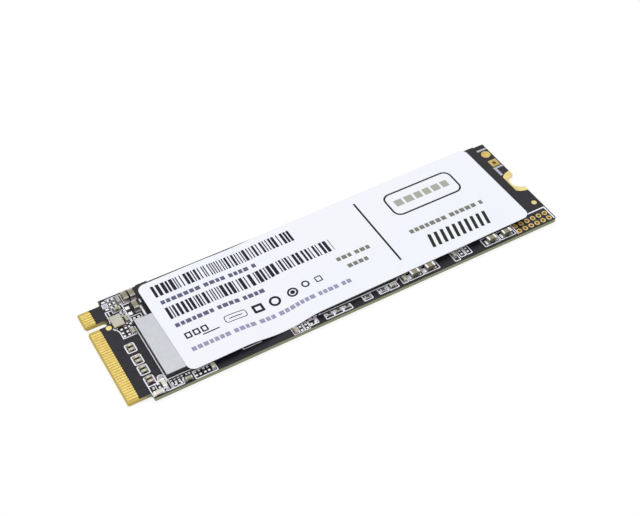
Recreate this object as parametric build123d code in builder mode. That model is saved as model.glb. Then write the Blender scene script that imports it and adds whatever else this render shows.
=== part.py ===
from build123d import *
import os
from dataclasses import dataclass
from math import radians, tan

# Flash drive on a keyed 22 by 80 mm card, with its packages, chip parts and label.
# +X runs from the edge connector to the screw end, the populated face looks up, and z = 0 is the
# underside of the lands on the back. All sizes are in millimetres.

# Card outline
card_length = 80.0
card_width = 22.0
card_thickness = 0.8  # over the plated lands on both faces
land_thickness = 0.04  # copper and gold standing on either face
tongue_length = 4.0
tongue_inset = 1.075  # from the card's side to the tongue's side
tongue_bevel = 0.25
shoulder_radius = 0.4
key_mouth_radius = 0.4
corner_radius = 0.6  # the near corner of the screw end
tab_stub = 0.2  # what a snapped panel tab leaves on the far edge
tab_length = 2.0
tab_from_shoulder = 7.6
tab_from_end = 3.1

# Edge connector
pin_count = 75  # odd pins on top, even pins below
key_first_pin = 59
key_last_pin = 66
key_width = 1.2
key_depth = 3.5
contact_margin = 0.675  # outermost contact's centre to the tongue's side
contact_width = 0.35
contact_end_length = 2.0  # from the leading edge to the contacts' inner end

# Screw notch with its lands
notch_radius = 1.75
notch_land_radius = 2.8
notch_land_reach = 2.0  # from the end of the card

# Plated holes: round lands and bores cut as regular polygons, which keeps their facets few
plating_thickness = 0.05
eyelet_sides = 12

# Programming header: plated holes in a corner of the screw end
header_columns = 6
header_rows = 2
header_pitch = 1.27
header_hole_diameter = 0.5
header_land_diameter = 0.98
header_from_end = 1.15
header_from_edge = 0.8

# Test lands and fiducials
test_pitch = 2.54
test_from_end = 1.1
test_from_edge = 2.6
round_land_diameter = 1.75
square_land_width = 1.7
square_land_hole_diameter = 0.7
disc_sides = 20
fiducial_diameter = 0.95
fiducial_from_edge = 5.05
fiducial_from_shoulder = 0.65
fiducial_gap = 0.08  # to the key notch

# Controller package
controller_width = 12.4
controller_height = 0.88
controller_substrate_thickness = 0.22
controller_lid_thickness = 0.12
controller_lid_inset = 0.06
controller_from_shoulder = 3.15
controller_row = -23.4

# Flash packages: the first stands across the card, the second lies along it
flash_width = 14.0
flash_length = 18.0
flash_height = 0.95
flash_substrate_thickness = 0.2
flash_from_end = 8.5
flash_gap = 5.25

# Power parts under the label
power_clearance = 0.08  # below the label's underside
regulator_width = 3.0
regulator_row = 36
regulator_from_controller = 5.2
inductor_length = 2.5
inductor_width = 2.0
inductor_terminal_length = 0.5
inductor_count = 2
inductor_gap = 0.6

# Crystal
crystal_length = 2.45
crystal_width = 1.88
crystal_base_height = 0.26
crystal_ring_height = 0.16
crystal_lid_height = 0.06
crystal_lid_inset = 0.04
crystal_from_shoulder = 1.0
crystal_row = 55.5
crystal_land_width = 0.5
crystal_land_toe = 0.1

# Chip parts: length, width, height and terminal of each case size
bulk_length = 1.7
bulk_width = 0.9
bulk_height = 0.8
bulk_terminal_length = 0.38
rail_height = 0.95  # the same parts along the second flash package, made taller
bypass_length = 1.1
bypass_width = 0.55
bypass_height = 0.5
bypass_terminal_length = 0.25
coupling_length = 1.0
coupling_width = 0.5
coupling_height = 0.35
coupling_terminal_length = 0.25
strap_length = 1.0
strap_width = 0.5
strap_height = 0.33
strap_terminal_length = 0.22
trim_length = 0.6
trim_width = 0.32
trim_height = 0.25
trim_terminal_length = 0.15
fuse_length = 1.6
fuse_width = 0.7
fuse_height = 0.42
fuse_terminal_length = 0.32
terminal_lip = 0.02  # how far a terminal stands proud of the body
terminal_chamfer = 0.04
coat_thickness = 0.02  # dark glaze on a resistor
bulk_toe = 0.3  # land beyond the end of the part
small_toe = 0.14

# Chip parts stand on rows that share out the card's width
row_count = 220

# Places beside the crystal: from the shoulder, and in rows from the far edge
regulator_capacitor_places = [(4.1, 15), (5.25, 15), (4.8, 41)]
crystal_bypass_along = [(2.0, 31.5)]
crystal_bypass_across = [(2.85, 15), (2.5, 57.5), (2.45, 84.5)]
crystal_trim_places = [(2.55, 40.5), (2.55, 48)]

# Places in the near corner: from the shoulder, and in rows from the near edge
near_bypass_along = [(6.0, 7)]
near_bypass_across = [(10.15, 10.5)]
near_trim_places = [(0.55, 20), (3.4, 14), (4.0, 14), (4.6, 14), (5.2, 14)]
fuse_along_place = (0.95, 6.2)
fuse_across_place = (2.28, 18)

# Coupling capacitor pairs, one for each lane direction: rows from the middle of the card
coupling_from_shoulder = 0.72
coupling_pair_rows = [-4, -30, -52, -74.5]
coupling_pair_spacing = 8.4

# Places along the first flash package, from its left side
strap_places = [0.65, 2.3, 3.95, 7.85, 10.8]
flash_bypass_along = [12.7]
flash_bypass_across = [-5.7]

# Places between the flash packages and along the second one, from the side named
gap_bypass_from_first = 1.1
gap_bypass_row = 14
rail_capacitor_row = 13
rail_places_from_left = [-2.13, 0.87]
rail_places_from_right = [-4.58, -1.48]
rail_bypass_from_left = 5.95

# Empty footprints: the lands' sizes, their centres' spacing and their places
spare_land_width = 0.36
spare_spacing = 0.72
spare_large_length = 0.65
spare_large_width = 0.7
spare_large_spacing = 1.3
spare_lamp_length = 0.34
spare_lamp_width = 0.56
spare_lamp_spacing = 1.65
spare_far_along = [(1.8, 7), (1.8, 15.5), (1.8, 23), (1.35, 73), (4.05, 61.5)]
spare_far_across = [(0.9, 84.5), (1.7, 84.5)]
spare_large_place = (3.55, 43)
spare_lamp_place = (0.62, 15.3)
spare_near_across = [(1.5, 18.5), (7.3, 11), (7.95, 11), (8.75, 11), (9.4, 11)]
spare_flash_across = [-4.65, -3.65]
spare_flash_along = [-2.35]
spare_rail_across = [7.35, 8.6]
spare_rail_row = 17

# Label
label_thickness = 0.1
label_corner = 1.3
label_side_margin = 1.18
label_from_controller = 3.25
label_from_end = 4.46
label_shift = 0.5  # towards the far edge
label_tilt = 0.8  # degrees
label_near_gap = 0.05  # above the board where it hangs deepest, at the card's near edge
label_far_gap = 0.75  # the same at the far edge
label_free_edge = 0.05  # beyond a package before the label dips
label_dip_share = 0.53  # of the way between the packages

# Datums worked out from the sizes above
connector_x = -card_length / 2
screw_x = card_length / 2
shoulder_x = connector_x + tongue_length
near_y = -card_width / 2
far_y = card_width / 2
tongue_width = card_width - 2 * tongue_inset
laminate_thickness = card_thickness - 2 * land_thickness
board_top = card_thickness - land_thickness
seat_z = card_thickness
pin_step = (tongue_width - 2 * contact_margin) / (pin_count - 1)
row_step = card_width / row_count
along = 0
across = 90


def pin_y(number):
    """Centre of a pin, counted from the near side of the tongue."""
    return (number - (pin_count + 1) / 2) * pin_step


key_y = pin_y((key_first_pin + key_last_pin) / 2)
key_pins = range(key_first_pin, key_last_pin + 1)
header_x = screw_x - header_from_end - header_pitch * (header_columns - 1) / 2
header_y = near_y + header_from_edge + header_pitch * (header_rows - 1) / 2
header_bore_radius = header_hole_diameter / 2 + plating_thickness
square_bore_radius = square_land_hole_diameter / 2 + plating_thickness
test_x = screw_x - test_from_end
round_land_y = far_y - test_from_edge
square_land_y = round_land_y - test_pitch
controller_left = shoulder_x + controller_from_shoulder
controller_right = controller_left + controller_width
controller_x = controller_left + controller_width / 2
controller_y = controller_row * row_step
flash_b_right = screw_x - flash_from_end
flash_b_left = flash_b_right - flash_length
flash_a_right = flash_b_left - flash_gap
flash_a_left = flash_a_right - flash_width
flash_strip_y = (near_y - flash_length / 2) / 2
power_height = controller_height - power_clearance
label_left = controller_left + label_from_controller
label_right = screw_x - label_from_end
label_x = (label_left + label_right) / 2
label_width = card_width - 2 * label_side_margin
label_near_y = label_shift - label_width / 2 - (label_x - flash_a_left) * tan(radians(label_tilt))
label_strip_y = (near_y + label_near_y) / 2


@dataclass
class Case:
    """Outside of a two-terminal chip part, with the land that shows beyond each end."""

    length: float
    width: float
    height: float
    terminal: float
    toe: float


bulk_case = Case(bulk_length, bulk_width, bulk_height, bulk_terminal_length, bulk_toe)
rail_case = Case(bulk_length, bulk_width, rail_height, bulk_terminal_length, bulk_toe)
bypass_case = Case(bypass_length, bypass_width, bypass_height, bypass_terminal_length, small_toe)
coupling_case = Case(coupling_length, coupling_width, coupling_height, coupling_terminal_length, small_toe)
strap_case = Case(strap_length, strap_width, strap_height, strap_terminal_length, small_toe)
trim_case = Case(trim_length, trim_width, trim_height, trim_terminal_length, small_toe)
fuse_case = Case(fuse_length, fuse_width, fuse_height, fuse_terminal_length, small_toe)


def site(x, y, turn):
    """A place on top of the lands, with the part's long side turned from +X."""
    return Location((x, y, seat_z), (0, 0, turn))


def far_sites(places, turn):
    """Sites given from the shoulder, and in rows from the far edge."""
    return [site(shoulder_x + dx, far_y - row * row_step, turn) for dx, row in places]


def near_sites(places, turn):
    """Sites given from the shoulder, and in rows from the near edge."""
    return [site(shoulder_x + dx, near_y + row * row_step, turn) for dx, row in places]


def package_sites(side_x, places, y, turn):
    """Sites beside a package, given along the card from one of its sides."""
    return [site(side_x + dx, y, turn) for dx in places]


def both_ends(sites):
    """Each site as it stands and turned end for end."""
    return [spot * Location((0, 0, 0), (0, 0, turn)) for spot in sites for turn in (0, 180)]


rail_y = near_y + rail_capacitor_row * row_step
spare_rail_y = near_y + spare_rail_row * row_step
gap_bypass_y = near_y + gap_bypass_row * row_step
regulator_sites = far_sites(regulator_capacitor_places, across)
rail_sites = package_sites(flash_b_left, rail_places_from_left, rail_y, along) + package_sites(
    flash_b_right, rail_places_from_right, rail_y, along
)
coupling_sites = [
    site(shoulder_x + coupling_from_shoulder, (row + side * coupling_pair_spacing / 2) * row_step, along)
    for row in coupling_pair_rows
    for side in (-1, 1)
]
bypass_sites = (
    far_sites(crystal_bypass_along, along)
    + far_sites(crystal_bypass_across, across)
    + near_sites(near_bypass_along, along)
    + near_sites(near_bypass_across, across)
    + package_sites(flash_a_left, flash_bypass_along, flash_strip_y, along)
    + package_sites(flash_a_left, flash_bypass_across, label_strip_y, across)
    + package_sites(flash_a_right, [gap_bypass_from_first], gap_bypass_y, across)
    + package_sites(flash_b_left, [rail_bypass_from_left], spare_rail_y, across)
)
strap_sites = package_sites(flash_a_left, strap_places, flash_strip_y, along)
trim_sites = far_sites(crystal_trim_places, along) + near_sites(near_trim_places, across)
fuse_sites = near_sites([fuse_along_place], along) + near_sites([fuse_across_place], across)
spare_sites = (
    far_sites(spare_far_along, along)
    + far_sites(spare_far_across, across)
    + near_sites(spare_near_across, across)
    + package_sites(flash_a_left, spare_flash_across, label_strip_y, across)
    + package_sites(flash_a_left, spare_flash_along, label_strip_y, along)
    + package_sites(flash_b_left, spare_rail_across, spare_rail_y, across)
)
crystal_site = far_sites([(crystal_from_shoulder, crystal_row)], across)[0]


def chip_bodies(case, sites):
    """Ceramic bodies of a kind of chip part, between their terminals."""
    with BuildPart() as bodies:
        with Locations(*sites):
            with Locations((0, 0, terminal_lip)):
                Box(
                    case.length - 2 * case.terminal,
                    case.width - 2 * terminal_lip,
                    case.height - 2 * terminal_lip,
                    align=(Align.CENTER, Align.CENTER, Align.MIN),
                )
    return bodies


def chip_terminals(case, sites):
    """Tinned end terminals of a kind of chip part, with broken edges."""
    with BuildPart() as terminals:
        with Locations(*both_ends(sites)):
            with Locations((case.length / 2, 0, 0)):
                Box(case.terminal, case.width, case.height, align=(Align.MAX, Align.CENTER, Align.MIN))
        chamfer(terminals.edges(), terminal_chamfer)
    return terminals


def resistor_bodies(case, sites):
    """Ceramic bodies of a kind of chip resistor, lower by the glaze on top."""
    with BuildPart() as bodies:
        with Locations(*sites):
            with Locations((0, 0, terminal_lip)):
                Box(
                    case.length - 2 * case.terminal,
                    case.width - 2 * terminal_lip,
                    case.height - 2 * terminal_lip - coat_thickness,
                    align=(Align.CENTER, Align.CENTER, Align.MIN),
                )
    return bodies


def resistor_coats(case, sites):
    """Dark glaze on top of a kind of chip resistor."""
    with BuildPart() as coats:
        with Locations(*sites):
            with Locations((0, 0, case.height - terminal_lip)):
                Box(
                    case.length - 2 * case.terminal,
                    case.width - 2 * terminal_lip,
                    coat_thickness,
                    align=(Align.CENTER, Align.CENTER, Align.MAX),
                )
    return coats


def package_layer(x, y, size_x, size_y, bottom, thickness):
    """A rectangular layer of a package, from one height above the board up."""
    with BuildPart() as layer:
        with BuildSketch(Plane((x, y, board_top + bottom))):
            Rectangle(size_x, size_y)
        extrude(amount=thickness)
    return layer


def write_piece(name, piece):
    """Label a finished piece and write it to its own file."""
    piece.part.label = name
    export_step(piece.part, f"parts/{name}.step")


os.makedirs("parts", exist_ok=True)

# Circuit board: body, tongue, key notch, screw notch, tab stubs, hole bores and bevelled leading edge
with BuildPart() as circuit_board:
    with BuildSketch(Plane.XY.offset(land_thickness)) as outline:
        with Locations((shoulder_x, 0)):
            Rectangle(card_length - tongue_length, card_width, align=(Align.MIN, Align.CENTER))
        with Locations((connector_x, 0)):
            Rectangle(tongue_length, tongue_width, align=(Align.MIN, Align.CENTER))
        fillet(outline.vertices().group_by(Axis.X)[1].sort_by(Axis.Y)[1:3], shoulder_radius)
        fillet(outline.vertices().group_by(Axis.X)[-1].sort_by(Axis.Y)[0], corner_radius)
        with Locations((connector_x, key_y)):
            SlotOverall(2 * key_depth, key_width, mode=Mode.SUBTRACT)
        fillet(outline.vertices().group_by(Axis.X)[0].sort_by(Axis.Y)[1:3], key_mouth_radius)
        with Locations((shoulder_x + tab_from_shoulder, far_y), (screw_x - tab_from_end, far_y)):
            Rectangle(tab_length, 2 * tab_stub)
        with Locations((screw_x, 0)):
            Circle(notch_radius, mode=Mode.SUBTRACT)
        with Locations((header_x, header_y)):
            with GridLocations(header_pitch, header_pitch, header_columns, header_rows):
                RegularPolygon(header_bore_radius, eyelet_sides, mode=Mode.SUBTRACT)
        with Locations((test_x, square_land_y)):
            RegularPolygon(square_bore_radius, eyelet_sides, mode=Mode.SUBTRACT)
    extrude(amount=laminate_thickness)
    with BuildSketch(Plane.XZ):
        for edge_z, turn in ((land_thickness, 1), (board_top, -1)):
            with BuildLine():
                Polyline(
                    (connector_x, edge_z),
                    (connector_x + tongue_bevel, edge_z),
                    (connector_x, edge_z + turn * tongue_bevel),
                    close=True,
                )
            make_face()
    extrude(amount=card_width, both=True, mode=Mode.SUBTRACT)
write_piece("circuit_board", circuit_board)


def edge_contacts(pins, bottom):
    """Gold contacts of one face, side by side on the tongue."""
    with BuildPart() as contacts:
        with Locations(*[(connector_x + contact_end_length, pin_y(pin), bottom) for pin in pins]):
            Box(
                contact_end_length - tongue_bevel,
                contact_width,
                land_thickness,
                align=(Align.MAX, Align.CENTER, Align.MIN),
            )
    return contacts


top_pins = [pin for pin in range(1, pin_count + 1, 2) if pin not in key_pins]
bottom_pins = [pin for pin in range(2, pin_count + 1, 2) if pin not in key_pins]
write_piece("edge_contacts_top", edge_contacts(top_pins, board_top))
write_piece("edge_contacts_bottom", edge_contacts(bottom_pins, 0))

# Screw notch lands: a ring on each face, cut flat on its inner side
with BuildPart() as mounting_land:
    for face_z in (0, board_top):
        with BuildSketch(Plane((screw_x, 0, face_z))):
            Circle(notch_land_radius)
            Rectangle(
                notch_land_reach,
                2 * notch_land_radius,
                align=(Align.MAX, Align.CENTER),
                mode=Mode.INTERSECT,
            )
            Circle(notch_radius, mode=Mode.SUBTRACT)
        extrude(amount=land_thickness)
write_piece("mounting_land", mounting_land)

# Header holes: a land on each face and the plated wall between
with BuildPart() as header_lands:
    for face_z in (0, board_top):
        with BuildSketch(Plane((header_x, header_y, face_z))):
            with GridLocations(header_pitch, header_pitch, header_columns, header_rows):
                RegularPolygon(header_land_diameter / 2, eyelet_sides)
        extrude(amount=land_thickness)
    with BuildSketch(Plane((header_x, header_y, land_thickness))):
        with GridLocations(header_pitch, header_pitch, header_columns, header_rows):
            RegularPolygon(header_bore_radius, eyelet_sides)
    extrude(amount=laminate_thickness)
    with BuildSketch(Plane((header_x, header_y, 0))):
        with GridLocations(header_pitch, header_pitch, header_columns, header_rows):
            RegularPolygon(header_hole_diameter / 2, eyelet_sides)
    extrude(amount=card_thickness, mode=Mode.SUBTRACT)
write_piece("header_lands", header_lands)

# Square test land with a plated hole
with BuildPart() as square_test_land:
    for face_z in (0, board_top):
        with BuildSketch(Plane((test_x, square_land_y, face_z))):
            Rectangle(square_land_width, square_land_width)
        extrude(amount=land_thickness)
    with BuildSketch(Plane((test_x, square_land_y, land_thickness))):
        RegularPolygon(square_bore_radius, eyelet_sides)
    extrude(amount=laminate_thickness)
    with BuildSketch(Plane((test_x, square_land_y, 0))):
        RegularPolygon(square_land_hole_diameter / 2, eyelet_sides)
    extrude(amount=card_thickness, mode=Mode.SUBTRACT)
write_piece("square_test_land", square_test_land)

# Round test land
with BuildPart() as round_test_land:
    with BuildSketch(Plane((test_x, round_land_y, board_top))):
        RegularPolygon(round_land_diameter / 2, disc_sides)
    extrude(amount=land_thickness)
write_piece("round_test_land", round_test_land)

# Fiducials: one beside the key notch, one at the screw end
with BuildPart() as fiducials:
    with BuildSketch(Plane.XY.offset(board_top)):
        with Locations(
            (
                shoulder_x - fiducial_from_shoulder,
                key_y - key_width / 2 - fiducial_diameter / 2 - fiducial_gap,
            ),
            (test_x, near_y + fiducial_from_edge),
        ):
            RegularPolygon(fiducial_diameter / 2, disc_sides)
    extrude(amount=land_thickness)
write_piece("fiducials", fiducials)

# Solder lands: under the chip parts, under the crystal's corners, and on empty footprints
soldered = [
    (bulk_case, regulator_sites),
    (rail_case, rail_sites),
    (bypass_case, bypass_sites),
    (coupling_case, coupling_sites),
    (strap_case, strap_sites),
    (trim_case, trim_sites),
    (fuse_case, fuse_sites),
]
with BuildPart() as solder_lands:
    for case, sites in soldered:
        with Locations(*both_ends(sites)):
            with Locations((case.length / 2 + case.toe, 0, 0)):
                Box(
                    case.terminal + case.toe,
                    case.width,
                    land_thickness,
                    align=(Align.MAX, Align.CENTER, Align.MAX),
                )
    with Locations(crystal_site):
        with GridLocations(crystal_length - crystal_land_width, crystal_width - crystal_land_width, 2, 2):
            Box(
                crystal_land_width + 2 * crystal_land_toe,
                crystal_land_width,
                land_thickness,
                align=(Align.CENTER, Align.CENTER, Align.MAX),
            )
    with Locations(*both_ends(spare_sites)):
        with Locations((spare_spacing / 2, 0, 0)):
            Box(
                spare_land_width,
                spare_land_width,
                land_thickness,
                align=(Align.CENTER, Align.CENTER, Align.MAX),
            )
    with Locations(*both_ends(far_sites([spare_large_place], across))):
        with Locations((spare_large_spacing / 2, 0, 0)):
            Box(
                spare_large_length,
                spare_large_width,
                land_thickness,
                align=(Align.CENTER, Align.CENTER, Align.MAX),
            )
    with Locations(*both_ends(far_sites([spare_lamp_place], across))):
        with Locations((spare_lamp_spacing / 2, 0, 0)):
            Box(
                spare_lamp_length,
                spare_lamp_width,
                land_thickness,
                align=(Align.CENTER, Align.CENTER, Align.MAX),
            )
write_piece("solder_lands", solder_lands)

# Controller: laminate substrate, dark mould and a bare metal lid
controller_mould_bottom = controller_substrate_thickness
controller_mould_top = controller_height - controller_lid_thickness
controller_mould_thickness = controller_mould_top - controller_mould_bottom
controller_lid_width = controller_width - 2 * controller_lid_inset
controller_plan = (controller_x, controller_y, controller_width, controller_width)
controller_lid_plan = (controller_x, controller_y, controller_lid_width, controller_lid_width)
controller_substrate = package_layer(*controller_plan, 0, controller_substrate_thickness)
write_piece("controller_substrate", controller_substrate)
controller_mould = package_layer(*controller_plan, controller_mould_bottom, controller_mould_thickness)
write_piece("controller_mould", controller_mould)
controller_lid = package_layer(*controller_lid_plan, controller_mould_top, controller_lid_thickness)
write_piece("controller_lid", controller_lid)

# Flash packages: laminate substrate and mould
flash_mould_thickness = flash_height - flash_substrate_thickness
flash_a_plan = ((flash_a_left + flash_a_right) / 2, 0, flash_width, flash_length)
flash_b_plan = ((flash_b_left + flash_b_right) / 2, 0, flash_length, flash_width)
for name, plan in (("flash_a", flash_a_plan), ("flash_b", flash_b_plan)):
    write_piece(f"{name}_substrate", package_layer(*plan, 0, flash_substrate_thickness))
    write_piece(f"{name}_mould", package_layer(*plan, flash_substrate_thickness, flash_mould_thickness))

# Power regulator and its inductors
regulator_x = controller_left + regulator_from_controller
regulator_y = far_y - regulator_row * row_step
regulator_plan = (regulator_x, regulator_y, regulator_width, regulator_width)
write_piece("power_regulator", package_layer(*regulator_plan, 0, power_height))
inductor_pitch = inductor_width + inductor_gap
inductor_x = regulator_x + (regulator_width + inductor_width) / 2 + inductor_gap
inductor_places = [(inductor_x + inductor_pitch * number, regulator_y) for number in range(inductor_count)]
with BuildPart() as power_inductors:
    with BuildSketch(Plane.XY.offset(board_top)):
        with Locations(*inductor_places):
            Rectangle(inductor_width, inductor_length - 2 * inductor_terminal_length)
    extrude(amount=power_height)
write_piece("power_inductors", power_inductors)
with BuildPart() as inductor_terminals:
    with BuildSketch(Plane.XY.offset(board_top)):
        with Locations(*inductor_places):
            with GridLocations(0, inductor_length - inductor_terminal_length, 1, 2):
                Rectangle(inductor_width, inductor_terminal_length)
    extrude(amount=power_height)
write_piece("power_inductor_terminals", inductor_terminals)

# Crystal: ceramic base, metal seal ring and lid
crystal_plane = Plane(crystal_site)
with BuildPart() as crystal_base:
    with BuildSketch(crystal_plane):
        Rectangle(crystal_length, crystal_width)
    extrude(amount=crystal_base_height)
write_piece("crystal_base", crystal_base)
with BuildPart() as crystal_seal_ring:
    with BuildSketch(crystal_plane.offset(crystal_base_height)):
        Rectangle(crystal_length, crystal_width)
    extrude(amount=crystal_ring_height)
write_piece("crystal_seal_ring", crystal_seal_ring)
with BuildPart() as crystal_lid:
    with BuildSketch(crystal_plane.offset(crystal_base_height + crystal_ring_height)):
        Rectangle(crystal_length - 2 * crystal_lid_inset, crystal_width - 2 * crystal_lid_inset)
    extrude(amount=crystal_lid_height)
    chamfer(crystal_lid.faces().sort_by(Axis.Z)[-1].edges(), crystal_lid_height / 2)
write_piece("crystal_lid", crystal_lid)

# Chip capacitors, fuses and resistors
two_piece_parts = [
    ("regulator_capacitor", bulk_case, regulator_sites),
    ("rail_capacitor", rail_case, rail_sites),
    ("bypass_capacitor", bypass_case, bypass_sites),
    ("coupling_capacitor", coupling_case, coupling_sites),
    ("input_fuse", fuse_case, fuse_sites),
]
for name, case, sites in two_piece_parts:
    write_piece(f"{name}s", chip_bodies(case, sites))
    write_piece(f"{name}_terminals", chip_terminals(case, sites))
glazed_parts = [
    ("strap_resistor", strap_case, strap_sites),
    ("trim_resistor", trim_case, trim_sites),
]
for name, case, sites in glazed_parts:
    write_piece(f"{name}s", resistor_bodies(case, sites))
    write_piece(f"{name}_coats", resistor_coats(case, sites))
    write_piece(f"{name}_terminals", chip_terminals(case, sites))

# Label: a film that lies on the packages and dips between them, deeper towards the near edge
low_z = board_top + controller_height
high_z = board_top + flash_height
dip_start = controller_right + label_free_edge
dip_end = flash_a_left - label_free_edge
dip_x = dip_start + label_dip_share * (dip_end - dip_start)
film_start = label_left - label_width
film_end = label_right + label_width
with BuildPart() as label:
    for side_y, gap in ((near_y, label_near_gap), (far_y, label_far_gap)):
        with BuildSketch(Plane.XZ.offset(-side_y)):
            with BuildLine():
                for lift in (0, label_thickness):
                    start = Vector(dip_start, low_z + lift)
                    bottom = Vector(dip_x, board_top + gap + lift)
                    end = Vector(dip_end, high_z + lift)
                    Line((film_start, start.Y), start)
                    TangentArc(start, (start + bottom) / 2, tangent=(1, 0))
                    TangentArc(bottom, (start + bottom) / 2, tangent=(-1, 0))
                    TangentArc(bottom, (bottom + end) / 2, tangent=(1, 0))
                    TangentArc(end, (bottom + end) / 2, tangent=(-1, 0))
                    Line(end, (film_end, end.Y))
                Line((film_start, low_z), (film_start, low_z + label_thickness))
                Line((film_end, high_z), (film_end, high_z + label_thickness))
            make_face()
    loft(ruled=True)
    with BuildSketch(Plane((label_x, label_shift, 0)).rotated((0, 0, label_tilt))):
        RectangleRounded(label_right - label_left, label_width, label_corner)
    extrude(amount=high_z + 2 * label_thickness, mode=Mode.INTERSECT)
write_piece("label", label)
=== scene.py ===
import logging
import math
import random
from dataclasses import dataclass, field
from enum import Enum
from typing import Callable, Mapping, Sequence

import bmesh
import bpy
from mathutils import Matrix, Quaternion, Vector


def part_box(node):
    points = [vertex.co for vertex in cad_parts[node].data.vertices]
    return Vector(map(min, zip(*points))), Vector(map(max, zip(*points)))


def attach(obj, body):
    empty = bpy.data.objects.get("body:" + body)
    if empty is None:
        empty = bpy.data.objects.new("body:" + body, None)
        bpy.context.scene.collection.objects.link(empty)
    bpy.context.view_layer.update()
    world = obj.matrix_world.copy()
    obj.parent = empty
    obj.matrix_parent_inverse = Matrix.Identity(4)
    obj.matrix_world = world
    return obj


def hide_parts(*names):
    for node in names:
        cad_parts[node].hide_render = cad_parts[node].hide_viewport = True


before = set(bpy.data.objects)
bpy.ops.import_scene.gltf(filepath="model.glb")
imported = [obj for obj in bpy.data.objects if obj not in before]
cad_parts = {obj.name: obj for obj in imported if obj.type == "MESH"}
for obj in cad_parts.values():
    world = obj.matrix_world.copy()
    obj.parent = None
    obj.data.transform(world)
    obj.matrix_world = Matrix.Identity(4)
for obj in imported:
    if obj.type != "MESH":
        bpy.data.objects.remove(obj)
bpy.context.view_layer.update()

LOG = logging.getLogger("drive_card")
MM = 0.001
BODY = "root"
# Gaps in millimetres below which corners count as one
MERGE_GAP = 0.001
WELD_GAP = 0.0005
SEAM_GAP = 1e-5
CUT_GAP = 1e-6
# Angle in degrees from which an edge is softened
SOFTENED_ANGLE = 30.0
Colour = tuple[float, float, float, float]
Point = tuple[float, float]
Triple = tuple[float, float, float]
Box2D = tuple[float, float, float, float]


class Slot(Enum):
    """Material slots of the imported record."""

    SOLDER_MASK = "solder_mask"
    GOLD_PLATE = "gold_plate"
    SOLDER = "solder"
    TIN_PLATE = "tin_plate"
    NICKEL_LID = "nickel_lid"
    PACKAGE_LAMINATE = "package_laminate"
    MOULD_COMPOUND = "mould_compound"
    FERRITE = "ferrite"
    LABEL_FILM = "label_film"
    CRYSTAL_CERAMIC = "crystal_ceramic"
    CAPACITOR_CERAMIC = "capacitor_ceramic"
    FUSE_CERAMIC = "fuse_ceramic"
    ALUMINA = "alumina"
    RESISTOR_GLAZE = "resistor_glaze"


def srgb(red: int, green: int, blue: int) -> Colour:
    """A screen colour, 0 to 255, as the linear colour that a shader takes.

    Args:
        red: Red level.
        green: Green level.
        blue: Blue level.

    Returns:
        Linear red, green and blue, with an alpha of one.
    """

    def linear(level: int) -> float:
        """One level on the linear scale."""
        share = level / 255
        return share / 12.92 if share <= 0.04045 else ((share + 0.055) / 1.055) ** 2.4

    return linear(red), linear(green), linear(blue), 1.0


class Signal:
    """A number socket of a node graph, so that shader maths reads as Python."""

    def __init__(self, graph: "Graph", socket: bpy.types.NodeSocket) -> None:
        """Wrap a socket of a graph."""
        self.graph = graph
        self.socket = socket

    def _math(self, operation: str, first: object, second: object = 0.0) -> "Signal":
        """A Math node of the two values."""
        made = self.graph.node("ShaderNodeMath", {"operation": operation}, {0: first, 1: second})
        return Signal(self.graph, made.outputs[0])

    def __add__(self, other: object) -> "Signal":
        """This and another value added."""
        return self._math("ADD", self, other)

    def __radd__(self, other: object) -> "Signal":
        """Another value and this added."""
        return self._math("ADD", other, self)

    def __sub__(self, other: object) -> "Signal":
        """Another value taken from this."""
        return self._math("SUBTRACT", self, other)

    def __rsub__(self, other: object) -> "Signal":
        """This taken from another value."""
        return self._math("SUBTRACT", other, self)

    def __mul__(self, other: object) -> "Signal":
        """This times another value."""
        return self._math("MULTIPLY", self, other)

    def __rmul__(self, other: object) -> "Signal":
        """Another value times this."""
        return self._math("MULTIPLY", other, self)

    def __abs__(self) -> "Signal":
        """The size of this, without its sign."""
        return self._math("ABSOLUTE", self)

    def wave(self, pitch: float) -> "Signal":
        """A sine of this, from 0 to 1, that repeats at a pitch."""
        return self._math("SINE", self * (2 * math.pi / pitch)) * 0.5 + 0.5

    def rise(self, low: float, high: float) -> "Signal":
        """A smooth step of this.

        Args:
            low: Where the step leaves 0.
            high: Where the step reaches 1.

        Returns:
            The step, from 0 to 1.
        """
        made = self.graph.node(
            "ShaderNodeMapRange",
            {"interpolation_type": "SMOOTHSTEP"},
            {"Value": self, "From Min": low, "From Max": high},
        )
        return Signal(self.graph, made.outputs[0])


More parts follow.
